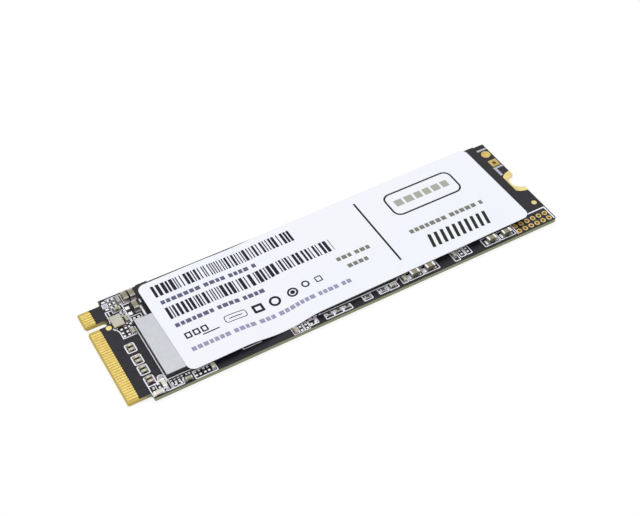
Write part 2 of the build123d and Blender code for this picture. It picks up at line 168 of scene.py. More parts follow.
class Graph:
    """The node graph of one material."""

    def __init__(self, name: str) -> None:
        """Start a material with its shader."""
        self.material = bpy.data.materials.new(name)
        self.material.use_nodes = True
        self.tree = self.material.node_tree
        self.shader = self.tree.nodes["Principled BSDF"]

    def feed(self, socket: bpy.types.NodeSocket, value: object) -> None:
        """Link or set a socket.

        Args:
            socket: The socket that takes the value.
            value: A signal, another node's socket or a plain value.
        """
        source = value.socket if isinstance(value, Signal) else value
        if isinstance(source, bpy.types.NodeSocket):
            self.tree.links.new(source, socket)
        else:
            socket.default_value = source

    def node(
        self,
        kind: str,
        settings: Mapping[str, object] | None = None,
        inputs: Mapping[str | int, object] | None = None,
    ) -> bpy.types.Node:
        """Make any node.

        Args:
            kind: The node's type.
            settings: The node's own properties, which are set first.
            inputs: Values or links for its sockets, by name or number.

        Returns:
            The new node.
        """
        made = self.tree.nodes.new(kind)
        for key, value in (settings or {}).items():
            setattr(made, key, value)
        for key, value in (inputs or {}).items():
            self.feed(made.inputs[key], value)
        return made

    def place(self, stretch: Triple = (1.0, 1.0, 1.0)) -> bpy.types.NodeSocket:
        """The surface point on the card in millimetres.

        Args:
            stretch: Factors of the three axes, for a pattern that is longer one way.

        Returns:
            The point's coordinates.
        """
        spot = self.node("ShaderNodeTexCoord").outputs["Object"]
        inputs = {0: spot, 1: [factor / MM for factor in stretch]}
        return self.node("ShaderNodeVectorMath", {"operation": "MULTIPLY"}, inputs).outputs[0]

    def split(self, vector: bpy.types.NodeSocket) -> list[Signal]:
        """The three numbers of a vector."""
        made = self.node("ShaderNodeSeparateXYZ", inputs={"Vector": vector})
        return [Signal(self, socket) for socket in made.outputs]

    def level(self, low: float = 0.4, high: float = 0.8) -> Signal:
        """How level the surface lies, by the upright part of the direction that it faces.

        Args:
            low: Upright part below which the surface counts as a side.
            high: Upright part from which the surface counts as flat.

        Returns:
            The share, from 0 on a side to 1 on a flat face.
        """
        facing = self.node("ShaderNodeTexCoord").outputs["Normal"]
        return abs(self.split(facing)[2]).rise(low, high)

    def noise(self, place: bpy.types.NodeSocket, grain: float, detail: float) -> Signal:
        """Noise from 0 to 1.

        Args:
            place: The pattern's coordinates.
            grain: Grains in a millimetre.
            detail: Octaves of finer noise.

        Returns:
            The noise.
        """
        inputs = {"Vector": place, "Scale": grain, "Detail": detail}
        return Signal(self, self.node("ShaderNodeTexNoise", inputs=inputs).outputs["Fac"])

    def mix(self, share: object, first: object, second: object) -> bpy.types.NodeSocket:
        """A blend of two colours.

        Args:
            share: How much of the second colour shows.
            first: The colour at 0.
            second: The colour at 1.

        Returns:
            The blended colour.
        """
        # The node's sockets for numbers and colours share their names, so they go by number.
        inputs = {0: share, 6: first, 7: second}
        return self.node("ShaderNodeMix", {"data_type": "RGBA"}, inputs).outputs[2]

    def surface(
        self, colour: object, roughness: object, relief: float, height: Signal, **fixed: float
    ) -> None:
        """Set the shader.

        Args:
            colour: Base colour.
            roughness: Roughness.
            relief: Depth of the bump in millimetres.
            height: The bump's pattern.
            fixed: Values for other sockets, with underscores for the spaces of their names.
        """
        inputs = {"Strength": 1.0, "Distance": relief * MM, "Height": height}
        bump = self.node("ShaderNodeBump", inputs=inputs)
        self.feed(self.shader.inputs["Base Color"], colour)
        self.feed(self.shader.inputs["Roughness"], roughness)
        self.feed(self.shader.inputs["Normal"], bump.outputs["Normal"])
        for name, value in fixed.items():
            self.feed(self.shader.inputs[name.replace("_", " ")], value)


@dataclass(frozen=True)
class Finish:
    """The looks of a surface, which each kind of finish paints in its own way."""

    name: str
    slot: Slot

    def paint(self, graph: Graph) -> None:
        """Fill in the material's graph."""
        raise NotImplementedError

    def material(self) -> bpy.types.Material:
        """The finish's material, made once.

        Returns:
            The material.
        """
        name = f"{self.name}_finish"
        made = bpy.data.materials.get(name)
        if made is None:
            graph = Graph(name)
            self.paint(graph)
            made = graph.material
        return made


@dataclass(frozen=True)
class LacqueredBoard(Finish):
    """Black lacquer on both faces of a glass laminate, which is bare at the edges and contacts."""

    lacquer: Colour
    lacquer_light: Colour
    laminate: Colour
    laminate_dark: Colour
    tongue: Colour
    tongue_dark: Colour
    lacquer_start: float
    bottom: float
    top: float
    face_range: Point = (0.6, 0.8)
    lacquer_depth: float = 0.03
    lacquer_blur: float = 0.02
    lacquer_roughness: float = 0.34
    lacquer_spread: float = 0.16
    laminate_roughness: float = 0.6
    laminate_spread: float = 0.2
    tongue_fade: float = 1.6
    weave_pitch: float = 0.42
    layer_pitch: float = 0.17
    layer_share: float = 0.55
    fibre_stretch: Triple = (0.4, 0.4, 9.0)
    fibre_grain: float = 2.4
    mottle_grain: float = 0.9
    mottle_range: Point = (0.3, 0.75)
    peel_grain: float = 5.0
    relief: float = 0.002
    gloss: float = 0.28

    def paint(self, graph: Graph) -> None:
        """Lacquer by place and direction, laminate with its weave and layers elsewhere.

        Args:
            graph: The material's graph.
        """
        place = graph.place()
        x, y, z = graph.split(place)
        face = graph.level(*self.face_range)
        start, blur = self.lacquer_start, self.lacquer_blur
        past_contacts = x.rise(start - blur, start + blur)
        upper_rim = z.rise(self.top - self.lacquer_depth, self.top)
        lower_rim = 1 - z.rise(self.bottom, self.bottom + self.lacquer_depth)
        lacquered = (face + (1 - face) * (upper_rim + lower_rim)) * past_contacts
        weave = x.wave(self.weave_pitch) * y.wave(self.weave_pitch)
        layers = z.wave(self.layer_pitch)
        fibres = graph.noise(graph.place(self.fibre_stretch), self.fibre_grain, detail=4.0)
        edge = layers * self.layer_share + fibres * (1 - self.layer_share)
        bare = face * weave + (1 - face) * edge
        mottle = graph.noise(place, self.mottle_grain, detail=4.0)
        peel = graph.noise(place, self.peel_grain, detail=2.0)
        laminate = graph.mix(
            x.rise(start, start + self.tongue_fade),
            graph.mix(bare, self.tongue, self.tongue_dark),
            graph.mix(bare, self.laminate, self.laminate_dark),
        )
        lacquer = graph.mix(mottle.rise(*self.mottle_range), self.lacquer, self.lacquer_light)
        smooth = self.lacquer_roughness + self.lacquer_spread * mottle
        rough = self.laminate_roughness + self.laminate_spread * fibres
        graph.surface(
            graph.mix(lacquered, laminate, lacquer),
            lacquered * smooth + (1 - lacquered) * rough,
            self.relief,
            lacquered * peel + (1 - lacquered) * bare,
            Specular_IOR_Level=self.gloss,
        )


@dataclass(frozen=True)
class PlatedMetal(Finish):
    """A bare or plated metal with grain, dull patches and fine relief.

    Inside a hole it may have a painted tone for the light and shade of the bore, and its upright
    faces may take a painted shade.
    """

    colour: Colour
    dull: Colour
    roughness: float
    spread: float
    grain: float
    stretch: Triple = (1.0, 1.0, 1.0)
    relief: float = 0.002
    metallic: float = 1.0
    # Painted light and shade inside a hole's bore, laid between the two rims.
    depth: Colour | None = None
    # Painted shade for the upright faces.
    side: Colour | None = None
    patch_size: float = 7.0
    patch_range: Point = (0.35, 0.7)
    lower_rim: Point = (0.01, 0.06)
    upper_rim: Point = (0.74, 0.79)

    def paint(self, graph: Graph) -> None:
        """Grain for the sheen and the bump, broad patches for the colour.

        Args:
            graph: The material's graph.
        """
        fine = graph.noise(graph.place(self.stretch), self.grain, detail=5.0)
        broad = graph.noise(graph.place(), self.grain / self.patch_size, detail=2.0)
        colour = graph.mix(broad.rise(*self.patch_range), self.colour, self.dull)
        # Painted light and shade of the bore, by height between the rims.
        if self.depth:
            height = graph.split(graph.place())[2]
            painted_bore_mask = height.rise(*self.lower_rim) * (1 - height.rise(*self.upper_rim))
            colour = graph.mix(painted_bore_mask, colour, self.depth)
        # Painted shade: upright faces take the side tone.
        if self.side:
            colour = graph.mix(graph.level(), self.side, colour)
        roughness = (fine - 0.5) * self.spread + self.roughness
        graph.surface(colour, roughness, self.relief, fine, Metallic=self.metallic)


@dataclass(frozen=True)
class Moulding(Finish):
    """A fired, moulded or glazed body with specks and, in stacked ceramics, faint layers."""

    colour: Colour
    speck: Colour
    roughness: float
    grain: float
    relief: float = 0.003
    layer_pitch: float = 0.0
    coat: float = 0.0
    # Painted shade for the upright faces.
    side: Colour | None = None
    patch_size: float = 9.0
    patch_range: Point = (0.35, 0.75)
    speck_range: Point = (0.52, 0.72)
    speck_share: float = 0.7
    layer_share: float = 0.4
    spread: float = 0.14

    def paint(self, graph: Graph) -> None:
        """Specks over the colour, layers where the body is stacked, upright sides in a painted
        shade.

        Args:
            graph: The material's graph.
        """
        place = graph.place()
        fine = graph.noise(place, self.grain, detail=4.0)
        broad = graph.noise(place, self.grain / self.patch_size, detail=2.0)
        patches = broad.rise(*self.patch_range) * (1 - self.speck_share)
        specks = fine.rise(*self.speck_range) * self.speck_share + patches
        if self.layer_pitch:
            layers = graph.split(place)[2].wave(self.layer_pitch) * self.layer_share
            specks = specks * (1 - self.layer_share) + layers
        colour = graph.mix(specks, self.colour, self.speck)
        # Painted shade: upright sides take the side tone.
        if self.side:
            colour = graph.mix(graph.level(), self.side, colour)
        roughness = self.roughness + self.spread * (broad - 0.5)
        graph.surface(colour, roughness, self.relief, fine, Coat_Weight=self.coat)


@dataclass(frozen=True)
class PrintedFilm(Finish):
    """White label film with a faint cast, fibres and slow ripples."""

    colour: Colour
    cast: Colour
    cut_edge: Colour
    roughness: float = 0.46
    spread: float = 0.1
    cut_range: Point = (0.3, 0.6)
    cut_roughness: float = 0.2
    cast_grain: float = 0.045
    cast_range: Point = (0.3, 0.7)
    cast_share: float = 0.8
    fibre_stretch: Triple = (1.0, 2.5, 1.0)
    fibre_grain: float = 6.0
    fibre_relief: float = 0.08
    ripple_grain: float = 0.16
    relief: float = 0.012

    def paint(self, graph: Graph) -> None:
        """Pale film on both faces, a duller tone where the film is cut.

        Args:
            graph: The material's graph.
        """
        place = graph.place()
        cast = graph.noise(place, self.cast_grain, detail=1.0).rise(*self.cast_range)
        fibre = graph.noise(graph.place(self.fibre_stretch), self.fibre_grain, detail=4.0)
        ripple = graph.noise(place, self.ripple_grain, detail=1.5)
        cut = 1 - graph.level(*self.cut_range)
        tone = cast * self.cast_share + fibre * (1 - self.cast_share)
        film = graph.mix(tone, self.colour, self.cast)
        roughness = self.roughness + self.spread * (fibre - 0.5) + self.cut_roughness * cut
        height = ripple + self.fibre_relief * fibre
        graph.surface(graph.mix(cut, film, self.cut_edge), roughness, self.relief, height)


@dataclass(frozen=True)
class Ink(Finish):
    """Printed ink with thin spots and a rough lay."""

    colour: Colour
    thin: Colour
    roughness: float
    grain: float = 7.0
    thin_range: Point = (0.5, 0.8)
    spread: float = 0.2
    relief: float = 0.002
    gloss: float = 0.2

    def paint(self, graph: Graph) -> None:
        """Thin spots in the ink by fine noise.

        Args:
            graph: The material's graph.
        """
        lay = graph.noise(graph.place(), self.grain, detail=5.0)
        colour = graph.mix(lay.rise(*self.thin_range), self.colour, self.thin)
        roughness = self.roughness + self.spread * (lay - 0.5)
        graph.surface(colour, roughness, self.relief, lay, Specular_IOR_Level=self.gloss)


GOLD = PlatedMetal(
    "gold_plating", Slot.GOLD_PLATE, srgb(216, 192, 122), srgb(198, 168, 94),
    roughness=0.3, spread=0.2, grain=6.0,
)
PALE_GOLD = PlatedMetal(
    "pale_gold_plating", Slot.GOLD_PLATE, srgb(232, 216, 152), srgb(220, 200, 130),
    roughness=0.3, spread=0.2, grain=6.0,
)
# The saturated bore tone paints the glow of light bounced inside the gold barrel.
HOLE_GOLD = PlatedMetal(
    "eyelet_gold", Slot.GOLD_PLATE, srgb(214, 190, 126), srgb(198, 171, 104),
    roughness=0.32, spread=0.2, grain=6.0, metallic=0.6, depth=srgb(186, 142, 8),
)
# The darker bore tone paints the shade inside the hole.
TEST_GOLD = PlatedMetal(
    "test_land_gold", Slot.GOLD_PLATE, srgb(198, 176, 118), srgb(182, 158, 98),
    roughness=0.32, spread=0.2, grain=6.0, depth=srgb(140, 114, 52),
)
CONTACT_GOLD = PlatedMetal(
    "contact_gold", Slot.GOLD_PLATE, srgb(228, 206, 126), srgb(214, 186, 104),
    roughness=0.3, spread=0.2, grain=9.0, stretch=(0.08, 1.0, 1.0),
)
SEAL_GOLD = PlatedMetal(
    "seal_ring_gold", Slot.GOLD_PLATE, srgb(232, 216, 164), srgb(214, 192, 136),
    roughness=0.35, spread=0.2, grain=8.0,
)
# Its near-white colour with little metal is painted reflection, standing in for the bright glints
# of shiny solder.
SOLDER = PlatedMetal(
    "reflowed_solder", Slot.SOLDER, srgb(250, 249, 250), srgb(234, 233, 236),
    roughness=0.28, spread=0.2, grain=7.0, metallic=0.1,
)
# Darker copy of the solder: painted shade for the capacitors' fillets.
SHADED_SOLDER = PlatedMetal(
    "shaded_solder", Slot.SOLDER, srgb(170, 164, 164), srgb(138, 132, 132),
    roughness=0.4, spread=0.2, grain=7.0,
)
TIN = PlatedMetal(
    "tin_plating", Slot.TIN_PLATE, srgb(186, 180, 174), srgb(156, 149, 144),
    roughness=0.42, spread=0.25, grain=8.0,
)
PALE_TIN = PlatedMetal(
    "pale_tin", Slot.TIN_PLATE, srgb(212, 209, 208), srgb(180, 176, 174),
    roughness=0.38, spread=0.2, grain=8.0, metallic=0.7,
)
BRIGHT_TIN = PlatedMetal(
    "bright_tin", Slot.TIN_PLATE, srgb(246, 245, 246), srgb(224, 222, 224),
    roughness=0.34, spread=0.2, grain=8.0, metallic=0.25,
)
# Its side tone is painted shade on the terminals' upright faces.
RAIL_TIN = PlatedMetal(
    "rail_tin", Slot.TIN_PLATE, srgb(246, 245, 242), srgb(228, 226, 222),
    roughness=0.34, spread=0.2, grain=8.0, metallic=0.25, side=srgb(128, 126, 118),
)
NICKEL = PlatedMetal(
    "satin_nickel", Slot.NICKEL_LID, srgb(192, 194, 199), srgb(188, 190, 195),
    roughness=0.4, spread=0.06, grain=9.0, stretch=(1.0, 0.12, 1.0), relief=0.0003,
)
CRYSTAL_NICKEL = PlatedMetal(
    "crystal_lid_nickel", Slot.NICKEL_LID, srgb(186, 185, 173), srgb(178, 177, 165),
    roughness=0.36, spread=0.1, grain=6.0, relief=0.0004,
)
MOULD = Moulding(
    "mould_black", Slot.MOULD_COMPOUND, srgb(46, 46, 48), srgb(72, 72, 74),
    roughness=0.66, grain=12.0,
)
SUBSTRATE = Moulding(
    "package_substrate", Slot.PACKAGE_LAMINATE, srgb(40, 52, 42), srgb(66, 76, 60),
    roughness=0.55, grain=8.0,
)
# Its side tone is painted shade on the body's upright faces.
CHIP_CERAMIC = Moulding(
    "capacitor_body", Slot.CAPACITOR_CERAMIC, srgb(140, 135, 110), srgb(118, 114, 90),
    roughness=0.46, grain=9.0, relief=0.002, layer_pitch=0.07, side=srgb(82, 78, 62),
)
# Its side tone is painted shade on the body's upright faces.
SMALL_CERAMIC = Moulding(
    "small_capacitor_body", Slot.CAPACITOR_CERAMIC, srgb(182, 182, 150), srgb(140, 139, 108),
    roughness=0.46, grain=4.0, relief=0.002, layer_pitch=0.07, side=srgb(120, 119, 94),
)
# Its side tone is painted shade on the body's upright faces.
COUPLING_CERAMIC = Moulding(
    "coupling_capacitor_body", Slot.CAPACITOR_CERAMIC, srgb(214, 210, 182), srgb(188, 184, 154),
    roughness=0.46, grain=6.0, relief=0.002, layer_pitch=0.07, side=srgb(118, 110, 92),
)
CREAM_CERAMIC = Moulding(
    "fuse_body", Slot.FUSE_CERAMIC, srgb(222, 217, 202), srgb(206, 200, 182),
    roughness=0.5, grain=8.0,
)
CRYSTAL_BODY = Moulding(
    "crystal_body", Slot.CRYSTAL_CERAMIC, srgb(92, 78, 58), srgb(70, 58, 42),
    roughness=0.52, grain=8.0,
)
WHITE_CERAMIC = Moulding(
    "resistor_body", Slot.ALUMINA, srgb(232, 232, 236), srgb(206, 206, 210),
    roughness=0.55, grain=9.0,
)
GLAZE = Moulding(
    "glass_glaze", Slot.RESISTOR_GLAZE, srgb(30, 31, 36), srgb(52, 54, 60),
    roughness=0.26, grain=7.0, relief=0.002, coat=0.6,
)
POWDER = Moulding(
    "inductor_powder", Slot.FERRITE, srgb(66, 66, 70), srgb(98, 97, 96),
    roughness=0.7, grain=11.0, relief=0.005,
)
FILM = PrintedFilm(
    "label_sheet", Slot.LABEL_FILM, srgb(236, 237, 243), srgb(234, 237, 244), srgb(206, 206, 214)
)
NAVY_INK = Ink("navy_ink", Slot.LABEL_FILM, srgb(18, 14, 40), srgb(36, 32, 62), 0.5)
SLATE_INK = Ink("slate_ink", Slot.LABEL_FILM, srgb(94, 90, 120), srgb(112, 108, 138), 0.5)
PALE_INK = Ink("pale_ink", Slot.LABEL_FILM, srgb(150, 147, 176), srgb(170, 168, 194), 0.5)
GREY_INK = Ink("grey_ink", Slot.LABEL_FILM, srgb(118, 120, 112), srgb(138, 140, 132), 0.5)
LIGHT_INK = Ink("light_ink", Slot.LABEL_FILM, srgb(164, 168, 156), srgb(180, 184, 172), 0.5)
DARK_INK = Ink("dark_ink", Slot.LABEL_FILM, srgb(26, 30, 24), srgb(46, 50, 42), 0.5)
LEGEND_INK = Ink("legend_ink", Slot.SOLDER_MASK, srgb(241, 240, 247), srgb(226, 225, 234), 0.62)
FAINT_LEGEND_INK = Ink(
    "faint_legend_ink", Slot.SOLDER_MASK, srgb(182, 182, 194), srgb(164, 164, 176), 0.62
)
TRACE_LACQUER = Ink(
    "lacquered_track", Slot.SOLDER_MASK, srgb(33, 31, 38), srgb(28, 26, 33), 0.36, grain=2.0
)


@dataclass(frozen=True)
class Block:
    """The box of one solid of a CAD node, in millimetres."""

    low: Vector
    high: Vector

    @property
    def centre(self) -> Vector:
        """The middle of the box."""
        return (self.low + self.high) / 2

    @property
    def size(self) -> Vector:
        """The lengths of the box's sides."""
        return self.high - self.low

    def spans(self, other: "Block") -> bool:
        """Whether the middle of another box lies within this one, seen from above."""
        return all(self.low[axis] < other.centre[axis] < self.high[axis] for axis in (0, 1))


def node_box(node: str) -> Block:
    """The box of a whole CAD node, in millimetres."""
    low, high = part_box(node)
    return Block(low / MM, high / MM)


def blocks(node: str) -> list[Block]:
    """The boxes of the separate solids of a CAD node.

    Args:
        node: The node's name.

    Returns:
        One box for each solid, in millimetres.
    """
    copy = bmesh.new()
    copy.from_mesh(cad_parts[node].data)
    bmesh.ops.remove_doubles(copy, verts=copy.verts, dist=MERGE_GAP * MM)
    waiting = set(copy.verts)
    found = []
    while waiting:
        group = [waiting.pop()]
        for vertex in group:
            near = {edge.other_vert(vertex) for edge in vertex.link_edges} & waiting
            waiting -= near
            group.extend(near)
        sides = list(zip(*(vertex.co / MM for vertex in group)))
        found.append(Block(Vector(map(min, sides)), Vector(map(max, sides))))
    copy.free()
    return sorted(found, key=lambda block: tuple(block.centre))


class Shape:
    """A mesh being modelled, in millimetres, that ends as one piece of the card."""

    corner_segments = 6
    round_segments = 64

    def __init__(self, layer: float = 0.0) -> None:
        """Start with nothing.

        Args:
            layer: How much higher each further part lies, so that parts which cross aren't level.
        """
        self.mesh = bmesh.new()
        self.layer = layer
        self.level = 0.0

    def everything(self) -> list[bmesh.types.BMVert | bmesh.types.BMEdge | bmesh.types.BMFace]:
        """All corners, edges and faces so far."""
        return self.mesh.verts[:] + self.mesh.edges[:] + self.mesh.faces[:]

    def take(self, part: bmesh.types.BMesh) -> None:
        """Add a finished part to the shape.

        Args:
            part: The part, which is freed.
        """
        part.transform(Matrix.Translation((0, 0, self.level)))
        self.level += self.layer
        carrier = bpy.data.meshes.new("carrier")
        part.to_mesh(carrier)
        part.free()
        self.mesh.from_mesh(carrier)
        bpy.data.meshes.remove(carrier)

    @staticmethod
    def flat(box: Box2D, radius: float) -> bmesh.types.BMesh:
        """A flat rectangle with rounded corners, as a mesh of one face.

        Args:
            box: The rectangle, as x0, x1, y0, y1.
            radius: Corner radius, or 0.

        Returns:
            The new mesh.
        """
        x0, x1, y0, y1 = box
        part = bmesh.new()
        spot = Matrix.Translation(((x0 + x1) / 2, (y0 + y1) / 2, 0))
        size = Matrix.Diagonal((x1 - x0, y1 - y0, 1, 1))
        bmesh.ops.create_grid(part, x_segments=1, y_segments=1, size=0.5, matrix=spot @ size)
        if radius:
            bmesh.ops.bevel(
                part,
                geom=part.verts[:],
                offset=radius,
                offset_type="OFFSET",
                segments=Shape.corner_segments,
                profile=0.5,
                affect="VERTICES",
                material=-1,
            )
        return part

    @staticmethod
    def circle(centre: Point, radius: float, segments: int) -> bmesh.types.BMesh:
        """A flat disc, as a mesh of one face.

        Args:
            centre: Its middle.
            radius: Its radius.
            segments: Sides of its outline.

        Returns:
            The new mesh.
        """
        part = bmesh.new()
        spot = Matrix.Translation((*centre, 0))
        bmesh.ops.create_circle(part, cap_ends=True, segments=segments, radius=radius, matrix=spot)
        return part

    def rim(self, part: bmesh.types.BMesh, width: float) -> None:
        """Add the rim of a flat part of one face.

        Args:
            part: The part, which is freed.
            width: Width of the rim.
        """
        inner = part.faces[:]
        bmesh.ops.inset_region(
            part, faces=inner, thickness=width, use_boundary=True, use_even_offset=True
        )
        bmesh.ops.delete(part, geom=inner, context="FACES")
        self.take(part)

    def bar(self, box: Box2D) -> None:
        """Add a filled rectangle, given as x0, x1, y0, y1."""
        self.take(self.flat(box, 0.0))

    def outline(self, box: Box2D, width: float, radius: float) -> None:
        """Add the outline of a rectangle, with a line width and the radius of the outer corners."""
        self.rim(self.flat(box, radius), width)

    def disc(self, centre: Point, radius: float, segments: int) -> None:
        """Add a filled disc."""
        self.take(self.circle(centre, radius, segments))

    def ring(self, centre: Point, radius: float, width: float) -> None:
        """Add a flat ring of an outer radius and a line width."""
        self.rim(self.circle(centre, radius, self.round_segments), width)

    def stroke(self, points: Sequence[Point], width: float) -> None:
        """Add a line with mitred corners.

        Args:
            points: The line's corners.
            width: Width of the line.
        """
        corners = [Vector(point) for point in points]
        runs = [(end - start).normalized() for start, end in zip(corners, corners[1:])]
        part = bmesh.new()
        rails = []
        for corner, before, after in zip(corners, runs[:1] + runs, runs + runs[-1:]):
            mitre = (before + after).normalized().orthogonal()
            reach = mitre * (width / 2 / mitre.dot(after.orthogonal()))
            rails.append([part.verts.new((*(corner + side * reach), 0)) for side in (1, -1)])
        for start, end in zip(rails, rails[1:]):
            part.faces.new((start[0], end[0], end[1], start[1]))
        self.take(part)

    def cut(self, lines: Sequence[float], axis: int) -> None:
        """Cut the faces along lines across an axis.

        Args:
            lines: Where the cuts cross the axis.
            axis: 0 for X, 1 for Y.
        """
        normal = Vector((0, 0, 0))
        normal[axis] = 1
        for line in lines:
            bmesh.ops.bisect_plane(
                self.mesh,
                geom=self.everything(),
                dist=CUT_GAP,
                plane_co=normal * line,
                plane_no=normal,
            )

    def drape(self, height: Callable[[float, float], float]) -> None:
        """Lay the flat shape on a surface that is given by its height."""
        for vertex in self.mesh.verts:
            vertex.co.z = height(vertex.co.x, vertex.co.y)

    def thicken(self, depth: float) -> None:
        """Give the faces a thickness.

        Args:
            depth: The thickness, above the faces, or below them where it is negative.
        """
        bmesh.ops.recalc_face_normals(self.mesh, faces=self.mesh.faces)
        for face in self.mesh.faces:
            if face.normal.z < 0:
                face.normal_flip()
        bmesh.ops.solidify(self.mesh, geom=self.mesh.faces[:], thickness=-depth)
        bmesh.ops.recalc_face_normals(self.mesh, faces=self.mesh.faces)

    def raise_by(self, distance: float) -> None:
        """Move the whole shape up."""
        bmesh.ops.translate(self.mesh, verts=self.mesh.verts, vec=(0, 0, distance))

    def lathe(
        self,
        profile: Sequence[Point],
        centre: Point,
        steps: int,
        square_from: float = math.inf,
    ) -> None:
        """Add a ring turned about an upright axis.

        Args:
            profile: Closed section, as radius and height.
            centre: Where the axis stands.
            steps: Segments of the full turn.
            square_from: Radius from which the plan is squared.
        """
        part = bmesh.new()
        loop = [part.verts.new((radius, 0, height)) for radius, height in profile]
        edges = [part.edges.new(pair) for pair in zip(loop, loop[1:] + loop[:1])]
        bmesh.ops.spin(
            part,
            geom=loop + edges,
            cent=(0, 0, 0),
            axis=(0, 0, 1),
            angle=2 * math.pi,
            steps=steps,
            use_merge=True,
        )
        bmesh.ops.remove_doubles(part, verts=part.verts, dist=SEAM_GAP)
        for vertex in part.verts:
            radius = vertex.co.xy.length
            if radius > square_from:
                vertex.co.xy *= radius / max(abs(vertex.co.x), abs(vertex.co.y))
        bmesh.ops.recalc_face_normals(part, faces=part.faces)
        part.transform(Matrix.Translation((*centre, 0)))
        self.take(part)

    def lump(
        self, low: Vector, high: Vector, crown: Callable[[float, float], float], cuts: int
    ) -> None:
        """Add a block whose top follows a crown.

        Args:
            low: Lowest corner.
            high: Highest corner.
            crown: Share of the height, from places along and across that run from -1 to 1.
            cuts: How finely the block is divided.
        """
        part = bmesh.new()
        bmesh.ops.create_cube(part, size=2.0)
        bmesh.ops.subdivide_edges(part, edges=part.edges[:], cuts=cuts, use_grid_fill=True)
        middle, half = (low + high) / 2, (high - low) / 2
        for vertex in part.verts:
            u, v, w = vertex.co
            level = low.z + (w + 1) * half.z * crown(u, v)
            vertex.co = (middle.x + u * half.x, middle.y + v * half.y, level)
        self.take(part)

    def piece(
        self, name: str, finish: Finish, replaced: Sequence[str] = (), smooth: float = 40.0
    ) -> None:
        """Turn the shape into a piece that rides with the card.

        Args:
            name: The piece's name.
            finish: Its finish.
            replaced: CAD nodes that it stands for.
            smooth: Edges sharper than this many degrees stay sharp.
        """
        bmesh.ops.scale(self.mesh, vec=(MM, MM, MM), verts=self.mesh.verts)
        data = bpy.data.meshes.new(name)
        self.mesh.to_mesh(data)
        self.mesh.free()
        data.shade_smooth()
        data.set_sharp_from_angle(angle=math.radians(smooth))
        data.materials.append(finish.material())
        made = bpy.data.objects.new(name, data)
        bpy.context.scene.collection.objects.link(made)
        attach(made, BODY)
        if replaced:
            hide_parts(*replaced)
        LOG.info("%s: %d faces", name, len(data.polygons))


def dress(node: str, finish: Finish, rounding: float = 0.0) -> None:
    """Give a CAD node its finish and soften its edges.

    Args:
        node: The node's name.
        finish: Its finish.
        rounding: Width of the softened edges in millimetres, or 0.
    """
    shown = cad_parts[node]
    shown.data.materials.clear()
    shown.data.materials.append(finish.material())
    if rounding:
        weld = shown.modifiers.new("weld", "WELD")
        weld.merge_threshold = WELD_GAP * MM
        bevel = shown.modifiers.new("edges", "BEVEL")
        bevel.width = rounding * MM
        bevel.segments = 2
        bevel.limit_method = "ANGLE"
        bevel.angle_limit = math.radians(SOFTENED_ANGLE)
    LOG.info("%s: %s", node, finish.name)


@dataclass(frozen=True)
class Lanes:
    """A group of tracks that run side by side.

    Each lane repeats the corners of the first one, and every corner moves on by its own step.
    """

    count: int
    width: float
    corners: tuple[Point, ...]
    steps: tuple[Point, ...]

    def run(self, lane: int) -> list[Point]:
        """The corners of one lane, counted from 0."""
        pairs = zip(self.corners, self.steps)
        return [(x + lane * along, y + lane * across) for (x, y), (along, across) in pairs]


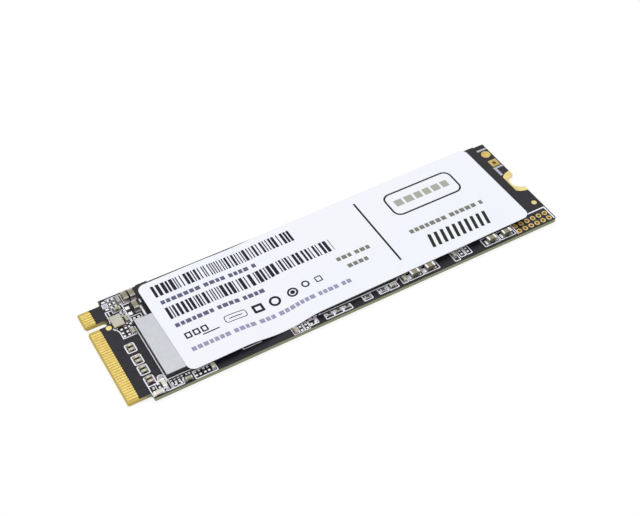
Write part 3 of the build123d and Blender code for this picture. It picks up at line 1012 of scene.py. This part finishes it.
@dataclass
class Card:
    """The board with its plated lands, holes, notch and tracks."""

    bottom: float = field(init=False)
    top: float = field(init=False)
    lacquer_start: float = -38.06
    contact_softening: float = 0.012
    ring_softening: float = 0.01
    notch_plating: float = 0.012
    notch_inset: float = 0.004
    notch_radius: float = 1.75
    notch_steps: int = 96
    eyelet_steps: int = 48
    bore_radius: float = 0.25
    test_bore_radius: float = 0.35
    barrel: float = 0.04
    square_margin: float = 0.02
    land_softening: float = 0.014
    via_section: tuple[Point, ...] = (
        (0.05, 0.0),
        (0.06, 0.0035),
        (0.1155, 0.014),
        (0.1785, 0.0112),
        (0.21, 0.0),
    )
    via_steps: int = 14
    upper_vias: tuple[Point, ...] = (
        (-35.6, 1.1),
        (-36.6, 1.9),
        (-36.5, 0.4),
        (-34.3, -9.1),
        (-16.5, -10.2),
        (-13.6, -10.0),
        (36.9, -4.2),
    )
    lower_vias: int = 150
    lower_via_field: Box2D = (-34, 36, -10, 10)
    header_margin: float = 1.0
    seed: int = 11
    track_width: float = 0.13
    track_height: float = 0.009
    track_inset: float = 0.1
    pair_spread: float = 0.3
    fan_start: float = 0.7
    fan_end: float = 1.0
    chip_ends: Point = (-36.0, -34.6)
    far_bend: float = -34.0
    far_spread: float = 0.1
    back_lanes: tuple[Lanes, ...] = (
        Lanes(
            14,
            0.13,
            ((-30, -7.6), (-12, -7.6), (-10.9, -6.5), (10, -6.5)),
            ((0.3, 0.42), (0.42, 0.42), (0.54, 0.54), (-0.5, 0.54)),
        ),
        Lanes(
            9,
            0.16,
            ((-8, 3.2), (14, 3.2), (15.5, 1.7), (30, 1.7)),
            ((0.5, 0.5), (-0.4, 0.5), (-0.4, 0.5), (0, 0.5)),
        ),
    )

    def build(self) -> None:
        """Dress the board and the contacts, and add the plated details."""
        board = node_box("circuit_board")
        self.bottom, self.top = board.low.z, board.high.z
        lacquer = LacqueredBoard(
            "board_lacquer",
            Slot.SOLDER_MASK,
            lacquer=srgb(28, 26, 33),
            lacquer_light=srgb(35, 33, 40),
            laminate=srgb(154, 158, 126),
            laminate_dark=srgb(122, 127, 98),
            tongue=srgb(202, 179, 98),
            tongue_dark=srgb(178, 151, 74),
            lacquer_start=self.lacquer_start,
            bottom=self.bottom,
            top=self.top,
        )
        dress("circuit_board", lacquer)
        dress("edge_contacts_top", CONTACT_GOLD, self.contact_softening)
        dress("edge_contacts_bottom", CONTACT_GOLD, self.contact_softening)
        dress("mounting_land", PALE_GOLD, self.ring_softening)
        self.notch_wall()
        self.header_eyelets()
        self.test_lands()
        self.vias()
        self.tracks()

    def notch_wall(self) -> None:
        """Plating on the wall of the half-round screw notch."""
        land = node_box("mounting_land")
        end = land.high.x
        inner, outer = (self.notch_radius + side * self.notch_plating for side in (-1, 1))
        low, high = self.notch_inset, land.high.z - self.notch_inset
        shape = Shape()
        section = [(inner, low), (outer, low), (outer, high), (inner, high)]
        shape.lathe(section, (end, 0.0), self.notch_steps)
        bmesh.ops.bisect_plane(
            shape.mesh,
            geom=shape.everything(),
            plane_co=(end, 0, 0),
            plane_no=(1, 0, 0),
            clear_outer=True,
        )
        bmesh.ops.holes_fill(shape.mesh, edges=shape.mesh.edges[:])
        shape.piece("notch_plating", PALE_GOLD)

    def eyelet(self, bore: float, land: float) -> list[Point]:
        """Closed section of a plated hole with a land on each face.

        Args:
            bore: Radius of the open hole.
            land: Radius of the lands.

        Returns:
            The section, as radius and height.
        """
        soft, wall = self.land_softening, bore + self.barrel
        high = self.top + self.bottom
        return [
            (bore, soft),
            (bore + soft, 0),
            (land - soft, 0),
            (land, soft),
            (land, self.bottom),
            (wall, self.bottom),
            (wall, self.top),
            (land, self.top),
            (land, high - soft),
            (land - soft, high),
            (bore + soft, high),
            (bore, high - soft),
        ]

    def header_eyelets(self) -> None:
        """Round eyelets of the header."""
        shape = Shape()
        for hole in blocks("header_lands"):
            section = self.eyelet(self.bore_radius, hole.size.x / 2)
            shape.lathe(section, (hole.centre.x, hole.centre.y), self.eyelet_steps)
        shape.piece("header_eyelets", HOLE_GOLD, ["header_lands"])

    def test_lands(self) -> None:
        """Square test land with its hole, round test land and fiducials."""
        square = node_box("square_test_land")
        shape = Shape()
        section = self.eyelet(self.test_bore_radius, square.size.x / 2)
        square_from = self.test_bore_radius + self.barrel + self.square_margin
        place = (square.centre.x, square.centre.y)
        shape.lathe(section, place, self.eyelet_steps, square_from)
        shape.piece("square_land", TEST_GOLD, ["square_test_land"])
        discs = (
            ("round_land", "round_test_land", GOLD),
            ("fiducial_discs", "fiducials", PALE_GOLD),
        )
        for name, node, finish in discs:
            shape = Shape()
            lands = blocks(node)
            for land in lands:
                centre = (land.centre.x, land.centre.y)
                shape.disc(centre, land.size.x / 2, Shape.round_segments)
            shape.thicken(lands[-1].size.z)
            shape.raise_by(self.top)
            shape.piece(name, finish, [node])

    def vias(self) -> None:
        """Lacquered via caps: a few by the connector, more along the back."""
        dice = random.Random(self.seed)
        x0, x1, y0, y1 = self.lower_via_field
        lower = [(dice.uniform(x0, x1), dice.uniform(y0, y1)) for _ in range(self.lower_vias)]
        header = node_box("header_lands")
        clear_x, clear_y = header.low.x - self.header_margin, header.high.y + self.header_margin
        lower = [(x, y) for x, y in lower if x < clear_x or y > clear_y]
        shape = Shape()
        for places, level, side in ((self.upper_vias, self.top, 1), (lower, self.bottom, -1)):
            section = [(radius, level + side * height) for radius, height in self.via_section]
            for place in places:
                shape.lathe(section, place, self.via_steps)
        shape.piece("via_caps", TRACE_LACQUER)

    def tracks(self) -> None:
        """Lacquered track pairs through the coupling capacitors, and runs on the back."""
        chips = sorted(blocks("coupling_capacitors"), key=lambda chip: chip.centre.y)
        controller = node_box("controller_mould")
        start = self.lacquer_start + self.track_inset
        chip_start, chip_end = self.chip_ends
        upper = Shape()
        for index, chip in enumerate(chips):
            side = 1 if index % 2 else -1
            y = chip.centre.y
            fan_y = y + side * self.pair_spread
            fan = [(start, fan_y), (start + self.fan_start, fan_y), (start + self.fan_end, y)]
            upper.stroke([*fan, (chip_start, y)], self.track_width)
            arrival = (controller.low.x, y - side * self.far_spread)
            upper.stroke([(chip_end, y), (self.far_bend, y), arrival], self.track_width)
        upper.thicken(self.track_height)
        upper.raise_by(self.top)
        upper.piece("tracks_top", TRACE_LACQUER)
        lower = Shape()
        for lanes in self.back_lanes:
            for lane in range(lanes.count):
                lower.stroke(lanes.run(lane), lanes.width)
        lower.thicken(self.track_height)
        lower.raise_by(self.bottom - self.track_height)
        lower.piece("tracks_back", TRACE_LACQUER)


@dataclass
class Packages:
    """Controller, flash packages, power parts and the crystal."""

    softening: float = 0.04
    lid_softening: float = 0.03

    def build(self) -> None:
        """Dress every package layer."""
        for name in ("controller", "flash_a", "flash_b"):
            dress(f"{name}_substrate", SUBSTRATE)
            dress(f"{name}_mould", MOULD, self.softening)
        dress("controller_lid", NICKEL, self.lid_softening)
        dress("power_regulator", MOULD, self.softening)
        dress("power_inductors", POWDER, self.softening)
        dress("power_inductor_terminals", TIN, self.softening)
        dress("crystal_base", CRYSTAL_BODY, self.lid_softening)
        dress("crystal_seal_ring", SEAL_GOLD, self.lid_softening)
        dress("crystal_lid", CRYSTAL_NICKEL)


@dataclass(frozen=True)
class ChipCase:
    """The finishes of one kind of chip part.

    The climb is how far up a terminal the solder reaches, as a share of its height.
    """

    name: str
    body: Finish
    plating: Finish
    solder: Finish
    climb: float


@dataclass
class ChipParts:
    """Chip capacitors, resistors and fuses with their solder."""

    softening: float = 0.03
    terminal_softening: float = 0.02
    solder_overlap: float = 0.02
    solder_sink: float = 0.005
    solder_cuts: int = 4
    solder_smooth: float = 60.0
    fillet_hollow: float = 1.8
    fillet_fall: float = 0.45
    fillet_toe: float = 0.04
    cushion_height: float = 0.045
    cushion_rim: float = 0.12
    # The darker solder and the side tones of the capacitor bodies and rail terminals are painted
    # shade.
    cases: tuple[ChipCase, ...] = (
        ChipCase("regulator_capacitor", CHIP_CERAMIC, TIN, SHADED_SOLDER, 0.66),
        ChipCase("rail_capacitor", CHIP_CERAMIC, RAIL_TIN, SOLDER, 0.2),
        ChipCase("bypass_capacitor", SMALL_CERAMIC, PALE_TIN, SHADED_SOLDER, 0.66),
        ChipCase("coupling_capacitor", COUPLING_CERAMIC, TIN, SHADED_SOLDER, 0.5),
        ChipCase("input_fuse", CREAM_CERAMIC, BRIGHT_TIN, SOLDER, 0.5),
        ChipCase("strap_resistor", WHITE_CERAMIC, PALE_TIN, SOLDER, 0.5),
        ChipCase("trim_resistor", WHITE_CERAMIC, BRIGHT_TIN, SOLDER, 0.5),
    )

    def build(self) -> None:
        """Dress the parts and add the solder."""
        lands = blocks("solder_lands")
        dress("solder_lands", SOLDER)
        dress("strap_resistor_coats", GLAZE)
        dress("trim_resistor_coats", GLAZE)
        crystal = node_box("crystal_base")
        covered = [land for land in lands if crystal.spans(land)]
        for case in self.cases:
            dress(f"{case.name}s", case.body, self.softening)
            dress(f"{case.name}_terminals", case.plating, self.terminal_softening)
            fillets = Shape()
            for end in blocks(f"{case.name}_terminals"):
                land = next(land for land in lands if land.spans(end))
                covered.append(land)
                self.fillet(fillets, land, end, case.climb)
            fillets.piece(f"{case.name}_solder", case.solder, smooth=self.solder_smooth)
        cushions = Shape()
        for land in lands:
            if land not in covered:
                self.cushion(cushions, land)
        cushions.piece("solder_cushions", SOLDER, smooth=self.solder_smooth)

    def fillet(self, shape: Shape, land: Block, end: Block, climb: float) -> None:
        """Hollow ramp of solder from a land up the outer face of a terminal.

        Args:
            shape: The shape that takes the ramp.
            land: The land's box.
            end: The terminal's box.
            climb: How far up the terminal the solder reaches, as a share of its height.
        """
        offset = land.centre - end.centre
        axis = 0 if abs(offset.x) > abs(offset.y) else 1
        way = 1 if offset[axis] > 0 else -1
        low, high = land.low.copy(), land.high.copy()
        if way > 0:
            low[axis] = end.high[axis] - self.solder_overlap
        else:
            high[axis] = end.low[axis] + self.solder_overlap
        low.z = land.high.z - self.solder_sink
        high.z = end.low.z + climb * end.size.z

        def crown(u: float, v: float) -> float:
            """Hollow outwards, lower towards the sides."""
            out, side = (u, v) if axis == 0 else (v, u)
            return max(
                ((1 - way * out) / 2) ** self.fillet_hollow * (1 - self.fillet_fall * side * side),
                self.fillet_toe,
            )

        shape.lump(low, high, crown, self.solder_cuts)

    def cushion(self, shape: Shape, land: Block) -> None:
        """Low crowned cushion of solder on an empty land.

        Args:
            shape: The shape that takes the cushion.
            land: The land's box.
        """
        low, high = land.low.copy(), land.high.copy()
        low.z = land.high.z - self.solder_sink
        high.z = land.high.z + self.cushion_height

        def crown(u: float, v: float) -> float:
            """Broad and flat, with soft edges."""
            return max((1 - u**4) * (1 - v**4), self.cushion_rim)

        shape.lump(low, high, crown, self.solder_cuts)


@dataclass
class Legend:
    """White lines printed on the board around the parts."""

    line: float = 0.165
    frame_line: float = 0.2
    fine_line: float = 0.11
    thin_line: float = 0.07
    corner: float = 0.32
    ink_height: float = 0.012
    layer: float = 0.0003
    faint_layer: float = 0.0002
    faint_bars: tuple[Box2D, ...] = (
        (-35.8, -35.03, 9.08, 9.86),
        (-34.0, -33.32, -8.1, -7.56),
        (-34.44, -34.24, -9.1, -8.7),
        (-33.0, -32.8, -10.1, -8.85),
        (-33.85, -33.3, -10.5, -10.12),
        (-33.0, -32.5, -10.6, -10.1),
        (-32.1, -31.5, -10.62, -10.42),
        (37.9, 39.85, 9.55, 9.98),
        (37.9, 39.85, 4.4, 4.8),
        (37.95, 38.45, 2.5, 4.4),
    )
    thin_frames: tuple[Box2D, ...] = (
        (-34.98, -33.5, 9.98, 10.56),
        (-34.98, -33.5, 9.12, 9.86),
        (-34.98, -33.5, 8.36, 9.0),
    )
    round_frames: tuple[Box2D, ...] = (
        (-36.12, -34.44, -1.38, 0.58),
        (-36.12, -34.44, -4.02, -2.0),
        (-36.12, -34.44, -6.24, -4.24),
        (-36.12, -34.44, -8.72, -6.62),
    )
    cell_frames: tuple[Box2D, ...] = (
        (-29.1, -25.25, -10.95, -9.2),
        (-8.9, -7.2, -10.6, -9.4),
        (-5.95, -4.28, -10.75, -9.55),
        (-4.28, -2.62, -10.75, -9.55),
        (-2.62, -0.95, -10.75, -9.55),
        (1.25, 3.0, -10.55, -9.2),
        (4.2, 5.97, -10.55, -9.2),
        (6.03, 7.98, -10.62, -9.2),
        (8.75, 9.9, -10.5, -8.75),
        (9.98, 12.98, -10.5, -8.6),
        (13.05, 16.1, -10.5, -8.6),
        (18.95, 20.12, -10.7, -8.4),
        (20.3, 21.45, -10.35, -8.4),
        (21.55, 22.75, -10.35, -8.4),
        (25.25, 28.42, -10.5, -8.6),
        (28.5, 31.72, -10.5, -8.6),
    )
    fine_frames: tuple[Box2D, ...] = (
        (-11.95, -10.95, -10.96, -9.35),
        (-10.9, -9.92, -10.96, -9.35),
        (-9.88, -8.95, -10.96, -9.35),
        (-35.9, -34.94, 9.0, 9.95),
        (-32.85, -30.98, 4.5, 5.42),
        (-33.84, -33.08, 5.92, 6.54),
        (-33.84, -33.08, 6.64, 7.26),
    )
    fine_lines: tuple[tuple[Point, ...], ...] = (
        ((-34.98, 10.64), (-32.45, 10.64), (-32.45, 8.45)),
        ((-32.76, 10.5), (-32.76, 8.45)),
        ((-34.86, 8.3), (-34.86, 7.42), (-33.2, 7.42)),
        ((-33.84, 3.3), (-33.84, 1.9)),
        ((-33.26, 3.3), (-33.26, 1.9)),
        ((-35.02, -8.45), (-35.02, -9.75)),
    )
    bars: tuple[Box2D, ...] = (
        (-30.6, -30.25, 4.6, 6.9),
        (-30.15, -29.9, 7.4, 8.2),
        (-33.25, -32.92, 8.55, 8.85),
        (-33.86, -33.6, 4.32, 4.64),
        (-33.42, -33.14, 3.98, 4.34),
        (-33.86, -33.56, 3.58, 3.9),
        (-34.64, -34.26, -8.6, -8.18),
        (-32.35, -31.9, -10.34, -10.1),
        (-31.42, -31.1, -10.5, -10.1),
        (-30.1, -29.85, -9.4, -9.1),
        (-29.62, -29.36, -9.4, -9.06),
        (-7.75, -7.4, -10.2, -9.7),
        (-28.2, -27.0, -9.06, -8.9),
        (-8.5, -7.9, -9.3, -9.05),
        (-7.6, -6.9, -9.3, -9.05),
        (-6.6, -6.1, -9.3, -9.05),
    )
    lines: tuple[tuple[Point, ...], ...] = (
        ((39.6, -10.7), (39.6, -7.72), (36.1, -7.72)),
        ((39.7, -10.7), (39.7, -7.64), (36.1, -7.64)),
        ((31.98, -10.7), (31.98, -7.6), (33.0, -7.6)),
        ((-32.98, 8.7), (-32.98, 4.2)),
        ((-32.98, 8.25), (-31.7, 8.25)),
        ((-32.98, 3.3), (-32.98, -8.76), (-20.4, -8.76)),
        ((-35.0, 8.1), (-35.95, 8.1), (-35.95, 6.5), (-36.1, 5.7)),
        ((-35.5, 8.1), (-35.5, 7.1)),
        ((-36.1, 4.5), (-36.0, 4.1), (-35.7, 3.9), (-35.46, 3.3), (-35.46, 1.8), (-33.2, 1.8)),
        ((-6.0, -9.22), (8.2, -9.22), (8.55, -8.9), (8.55, -7.5)),
        ((-17.0, -9.4), (-20.2, -9.4), (-20.2, -8.9)),
        (
            (-33.14, -9.1),
            (-33.14, -7.8),
            (-33.2, -7.6),
            (-33.36, -7.46),
            (-33.64, -7.4),
            (-33.92, -7.46),
            (-34.08, -7.6),
            (-34.14, -7.8),
            (-34.14, -8.6),
        ),
        ((-36.03, -8.3), (-36.03, -9.7), (-35.98, -10.3), (-35.93, -10.75)),
        ((-33.95, -10.58), (-33.5, -10.68), (-31.0, -10.7), (-30.72, -10.4), (-30.72, -9.1)),
    )

    def build(self) -> None:
        """Print the lines by the parts in one ink, some bars and thin frames in a fainter one."""
        strong, faint = Shape(self.layer), Shape(self.faint_layer)
        for box in self.round_frames:
            strong.outline(box, self.frame_line, self.corner)
        for box in self.cell_frames:
            strong.outline(box, self.line, self.line)
        for box in self.bars:
            strong.bar(box)
        for points in self.lines:
            strong.stroke(points, self.line)
        for box in self.fine_frames:
            strong.outline(box, self.fine_line, self.fine_line)
        for points in self.fine_lines:
            strong.stroke(points, self.fine_line)
        for box in self.faint_bars:
            faint.bar(box)
        for box in self.thin_frames:
            faint.outline(box, self.thin_line, self.thin_line)
        level = node_box("circuit_board").high.z
        inks = (
            ("board_legend", LEGEND_INK, strong),
            ("board_legend_faint", FAINT_LEGEND_INK, faint),
        )
        for name, ink, shape in inks:
            shape.thicken(self.ink_height)
            shape.raise_by(level)
            shape.piece(name, ink)


@dataclass
class LabelSheet:
    """The film that lies over the packages, with its print."""

    board_top: float = field(init=False)
    middle: float = field(init=False)
    low: float = field(init=False)
    high: float = field(init=False)
    start: float = field(init=False)
    end: float = field(init=False)
    lines: list[float] = field(init=False)
    cross_lines: list[float] = field(init=False)
    length: float = 65.14
    width: float = 19.64
    corner: float = 1.3
    shift: float = 0.5
    tilt: float = 0.8
    thickness: float = 0.088
    free_edge: float = 0.05
    dip_share: float = 0.53
    card_width: float = 22.0
    near_gap: float = 0.05
    far_gap: float = 0.75
    bend_cuts: int = 48
    cross_start: float = -9.0
    cross_cuts: int = 20
    ink_lift: float = 0.004
    ink_height: float = 0.004
    seed: int = 5
    bar_unit: float = 0.2
    bar_widths: tuple[float, ...] = (1, 1, 1, 2, 2.5, 3)
    bar_gaps: tuple[float, ...] = (1, 1.2, 1.6, 2.4)
    bar_fields: tuple[Box2D, ...] = ((-27.8, -2.3, 6.2, 8.75), (-27.6, 2.5, 0.95, 3.55))
    mark_frames: tuple[tuple[Box2D, float, float], ...] = (
        ((-27.2, -26.1, -3.9, -2.65), 0.26, 0.1),
        ((-25.8, -24.7, -3.9, -2.65), 0.26, 0.1),
        ((-24.4, -23.3, -3.9, -2.65), 0.26, 0.1),
        ((-20.4, -16.5, -4.2, -2.7), 0.14, 0.5),
        ((-15.4, -13.5, -4.35, -2.65), 0.45, 0.2),
        ((-3.8, -2.6, -3.9, -2.7), 0.2, 0.1),
    )
    mark_bars: tuple[Box2D, ...] = ((-24.6, -21.7, -4.4, -4.18), (-19.6, -17.3, -3.54, -3.36))
    mark_rings: tuple[tuple[Point, float, float], ...] = (
        ((-11.4, -3.5), 1.0, 0.4),
        ((-8.2, -3.6), 0.92, 0.32),
        ((-5.6, -3.2), 0.7, 0.28),
    )
    mark_dot: tuple[Point, float, int] = ((-8.2, -3.6), 0.4, 40)
    block_rows: tuple[tuple[str, Finish, tuple[Box2D, ...]], ...] = (
        ("label_blocks", SLATE_INK, ((-27.6, -9.7, 4.2, 5.4), (-27.6, -10.5, -1.2, 0.0))),
        ("label_small_blocks", PALE_INK, ((-27.4, 1.8, -6.75, -5.55),)),
        (
            "label_grey_blocks",
            GREY_INK,
            ((1.5, 8.5, -1.85, -0.65), (2.4, 7.6, -3.95, -2.75), (15.5, 31.0, -2.6, -1.3)),
        ),
        ("label_light_blocks", LIGHT_INK, ((17.0, 28.2, 3.9, 6.1),)),
    )
    block_group: tuple[int, int] = (3, 8)
    block_width: Point = (0.5, 0.75)
    block_trim: float = 0.16
    block_gap: float = 0.2
    group_gap: float = 0.4
    divider: Box2D = (10.57, 10.93, -6.5, 8.6)
    panel: Box2D = (15.6, 29.6, 2.1, 7.7)
    panel_line: float = 0.34
    panel_corner: float = 1.5
    band: Box2D = (17.0, 29.4, -6.9, -3.95)
    band_strokes: int = 10
    band_slant: float = 0.7
    band_line: float = 0.6

    def build(self) -> None:
        """Lay the film and print it."""
        controller, flash = node_box("controller_mould"), node_box("flash_a_mould")
        self.board_top = node_box("circuit_board").high.z
        self.middle = node_box("label").centre.x
        self.low, self.high = node_box("controller_lid").high.z, flash.high.z
        self.start = controller.high.x + self.free_edge
        self.end = flash.low.x - self.free_edge
        bend = (self.end - self.start) / self.bend_cuts
        self.lines = [self.start + bend * step for step in range(self.bend_cuts + 1)]
        self.cross_lines = [self.cross_start + step for step in range(self.cross_cuts)]
        self.film()
        self.print_left()
        self.print_right()
        self.print_blocks()

    def top(self, x: float, y: float) -> float:
        """Height of the film's upper face, which dips between the packages.

        Args:
            x: Place along the card.
            y: Place across the card.

        Returns:
            The height in millimetres.
        """

        def ease(share: float) -> float:
            """Two equal bends from 0 to 1."""
            share = min(max(share, 0.0), 1.0)
            return 2 * share * share if share < 0.5 else 1 - 2 * (1 - share) ** 2

        across = y / self.card_width + 0.5
        dip = self.board_top + self.near_gap + (self.far_gap - self.near_gap) * across
        lowest = self.start + self.dip_share * (self.end - self.start)
        if x < lowest:
            level = self.low + (dip - self.low) * ease((x - self.start) / (lowest - self.start))
        else:
            level = dip + (self.high - dip) * ease((x - lowest) / (self.end - lowest))
        return level + self.thickness

    def lay(self, shape: Shape, lift: float) -> None:
        """Divide a flat shape where the film bends and drape it.

        Args:
            shape: The flat shape.
            lift: How far above the film's upper face it lies.
        """
        shape.cut(self.lines, 0)
        shape.cut(self.cross_lines, 1)
        shape.drape(lambda x, y: self.top(x, y) + lift)

    def film(self) -> None:
        """The film itself, at its place and tilt on the card."""
        half, side = self.length / 2, self.width / 2
        sheet = Shape.flat((-half, half, -side, side), self.corner)
        tilt = Matrix.Rotation(math.radians(self.tilt), 4, "Z")
        sheet.transform(Matrix.Translation((self.middle, self.shift, 0)) @ tilt)
        shape = Shape()
        shape.take(sheet)
        self.lay(shape, 0.0)
        shape.thicken(-self.thickness)
        shape.piece("label_sheet", FILM, ["label"])

    def ink(self, shape: Shape, name: str, finish: Finish) -> None:
        """Drape a finished print and make it a piece.

        Args:
            shape: The flat print.
            name: The piece's name.
            finish: The ink.
        """
        self.lay(shape, self.ink_lift)
        shape.thicken(self.ink_height)
        shape.piece(name, finish)

    def print_left(self) -> None:
        """Fields of bars and a row of plain shapes on the left of the divider."""
        dice = random.Random(self.seed)
        shape = Shape()
        for box in self.bar_fields:
            self.bar_field(shape, box, dice)
        for box, line, corner in self.mark_frames:
            shape.outline(box, line, corner)
        for box in self.mark_bars:
            shape.bar(box)
        for centre, radius, line in self.mark_rings:
            shape.ring(centre, radius, line)
        shape.disc(*self.mark_dot)
        self.ink(shape, "label_print_left", NAVY_INK)

    def bar_field(self, shape: Shape, box: Box2D, dice: random.Random) -> None:
        """A field of upright bars of mixed widths.

        Args:
            shape: The shape that takes the bars.
            box: The field, as x0, x1, y0, y1.
            dice: Random numbers for the widths.
        """
        x, x1, y0, y1 = box
        while x < x1:
            width = self.bar_unit * dice.choice(self.bar_widths)
            shape.bar((x, min(x + width, x1), y0, y1))
            x += width + self.bar_unit * dice.choice(self.bar_gaps)

    def print_right(self) -> None:
        """Divider, a plain rounded frame and a band of slanted strokes on the right."""
        shape = Shape()
        shape.bar(self.divider)
        shape.outline(self.panel, self.panel_line, self.panel_corner)
        x0, x1, y0, y1 = self.band
        pitch = (x1 - x0) / self.band_strokes
        for number in range(self.band_strokes):
            x = x0 + pitch * (number + 0.5)
            ends = [(x - self.band_slant / 2, y0), (x + self.band_slant / 2, y1)]
            shape.stroke(ends, self.band_line)
        self.ink(shape, "label_print_right", DARK_INK)

    def print_blocks(self) -> None:
        """Lines of small plain blocks in groups, in four inks."""
        dice = random.Random(self.seed)
        for name, finish, rows in self.block_rows:
            shape = Shape()
            for row in rows:
                self.block_line(shape, row, dice)
            self.ink(shape, name, finish)

    def block_line(self, shape: Shape, row: Box2D, dice: random.Random) -> None:
        """One line of blocks in groups.

        Args:
            shape: The shape that takes the blocks.
            row: The line, as x0, x1, y0, y1.
            dice: Random numbers for the blocks.
        """
        x, x1, y0, y1 = row
        height = y1 - y0
        trim = height * self.block_trim
        while x < x1:
            for _ in range(dice.randint(*self.block_group)):
                end = x + height * dice.uniform(*self.block_width)
                if end < x1:
                    shape.bar((x, end, y0 + trim, y1 - trim))
                x = end + height * self.block_gap
            x += height * self.group_gap


@dataclass
class Studio:
    """Floor, soft light and the camera."""

    floor_size: float = 4.0
    floor_drop: float = 0.00002
    floor_colour: Colour = (0.92, 0.92, 0.92, 1.0)
    floor_roughness: float = 0.9
    floor_glow: float = 1.04
    floor_share: float = 0.72
    white: Colour = (1.0, 1.0, 1.0, 1.0)
    world_level: float = 0.68
    lamps: tuple[tuple[str, float, float, Triple], ...] = (
        ("soft_key", 2.0, 0.7, (-0.25, 0.2, 0.75)),
        ("back_panel", 1.3, 1.0, (0.31, 0.52, 0.66)),
        ("front_fill", 0.8, 0.7, (0.3, -0.45, 0.5)),
    )
    target: Triple = (0.17, 1.96, 0.0)
    azimuth: float = -30.61
    elevation: float = 47.37
    roll: float = 0.482
    distance: float = 191.9
    lens: float = 64.33
    clip_start: float = 0.005

    def build(self) -> None:
        """Set up everything that isn't the object."""
        bpy.context.scene.view_settings.view_transform = "Standard"
        self.floor()
        self.light()
        self.camera()

    def floor(self) -> None:
        """White floor that keeps the object's shadow."""
        shape = bmesh.new()
        bmesh.ops.create_grid(shape, x_segments=1, y_segments=1, size=self.floor_size / 2)
        bmesh.ops.translate(shape, verts=shape.verts, vec=(0, 0, -self.floor_drop))
        data = bpy.data.meshes.new("floor")
        shape.to_mesh(data)
        shape.free()
        graph = Graph("white_floor")
        graph.feed(graph.shader.inputs["Base Color"], self.floor_colour)
        graph.feed(graph.shader.inputs["Roughness"], self.floor_roughness)
        path = graph.node("ShaderNodeLightPath")
        seen = Signal(graph, path.outputs["Is Camera Ray"])
        for name in ("Is Glossy Ray", "Is Transmission Ray"):
            seen = seen + Signal(graph, path.outputs[name])
        emission = {"Color": self.white, "Strength": self.floor_glow}
        glow = graph.node("ShaderNodeEmission", inputs=emission)
        mixed = graph.node(
            "ShaderNodeMixShader",
            inputs={0: seen * self.floor_share, 1: graph.shader.outputs[0], 2: glow.outputs[0]},
        )
        graph.feed(graph.tree.nodes["Material Output"].inputs["Surface"], mixed.outputs[0])
        data.materials.append(graph.material)
        floor = bpy.data.objects.new("floor", data)
        bpy.context.scene.collection.objects.link(floor)

    def light(self) -> None:
        """Even white surroundings, a soft lamp above, a dim panel behind, a weak fill in front."""
        world = bpy.data.worlds.new("studio")
        world.use_nodes = True
        background = world.node_tree.nodes["Background"]
        background.inputs["Color"].default_value = self.white
        background.inputs["Strength"].default_value = self.world_level
        bpy.context.scene.world = world
        for name, power, size, place in self.lamps:
            lamp = bpy.data.lights.new(name, "AREA")
            lamp.energy = power
            lamp.size = size
            shown = bpy.data.objects.new(name, lamp)
            shown.location = place
            shown.rotation_mode = "QUATERNION"
            shown.rotation_quaternion = (-Vector(place)).to_track_quat("-Z", "Y")
            bpy.context.scene.collection.objects.link(shown)

    def camera(self) -> None:
        """The camera at the photograph's angle."""
        data = bpy.data.cameras.new("camera")
        data.lens = self.lens
        data.clip_start = self.clip_start
        view = bpy.data.objects.new("camera", data)
        turn, rise = math.radians(self.azimuth), math.radians(self.elevation)
        level = math.cos(rise)
        back = Vector((math.sin(turn) * level, -math.cos(turn) * level, math.sin(rise)))
        view.location = (Vector(self.target) + back * self.distance) * MM
        view.rotation_mode = "QUATERNION"
        roll = Quaternion((0, 0, 1), math.radians(self.roll))
        view.rotation_quaternion = (-back).to_track_quat("-Z", "Y") @ roll
        bpy.context.scene.collection.objects.link(view)
        bpy.context.scene.camera = view


def main() -> None:
    """Build the card's looks and the studio."""
    logging.basicConfig(level=logging.INFO, format="%(message)s")
    for part in (Card(), Packages(), ChipParts(), Legend(), LabelSheet(), Studio()):
        part.build()


if __name__ == "__main__":
    main()
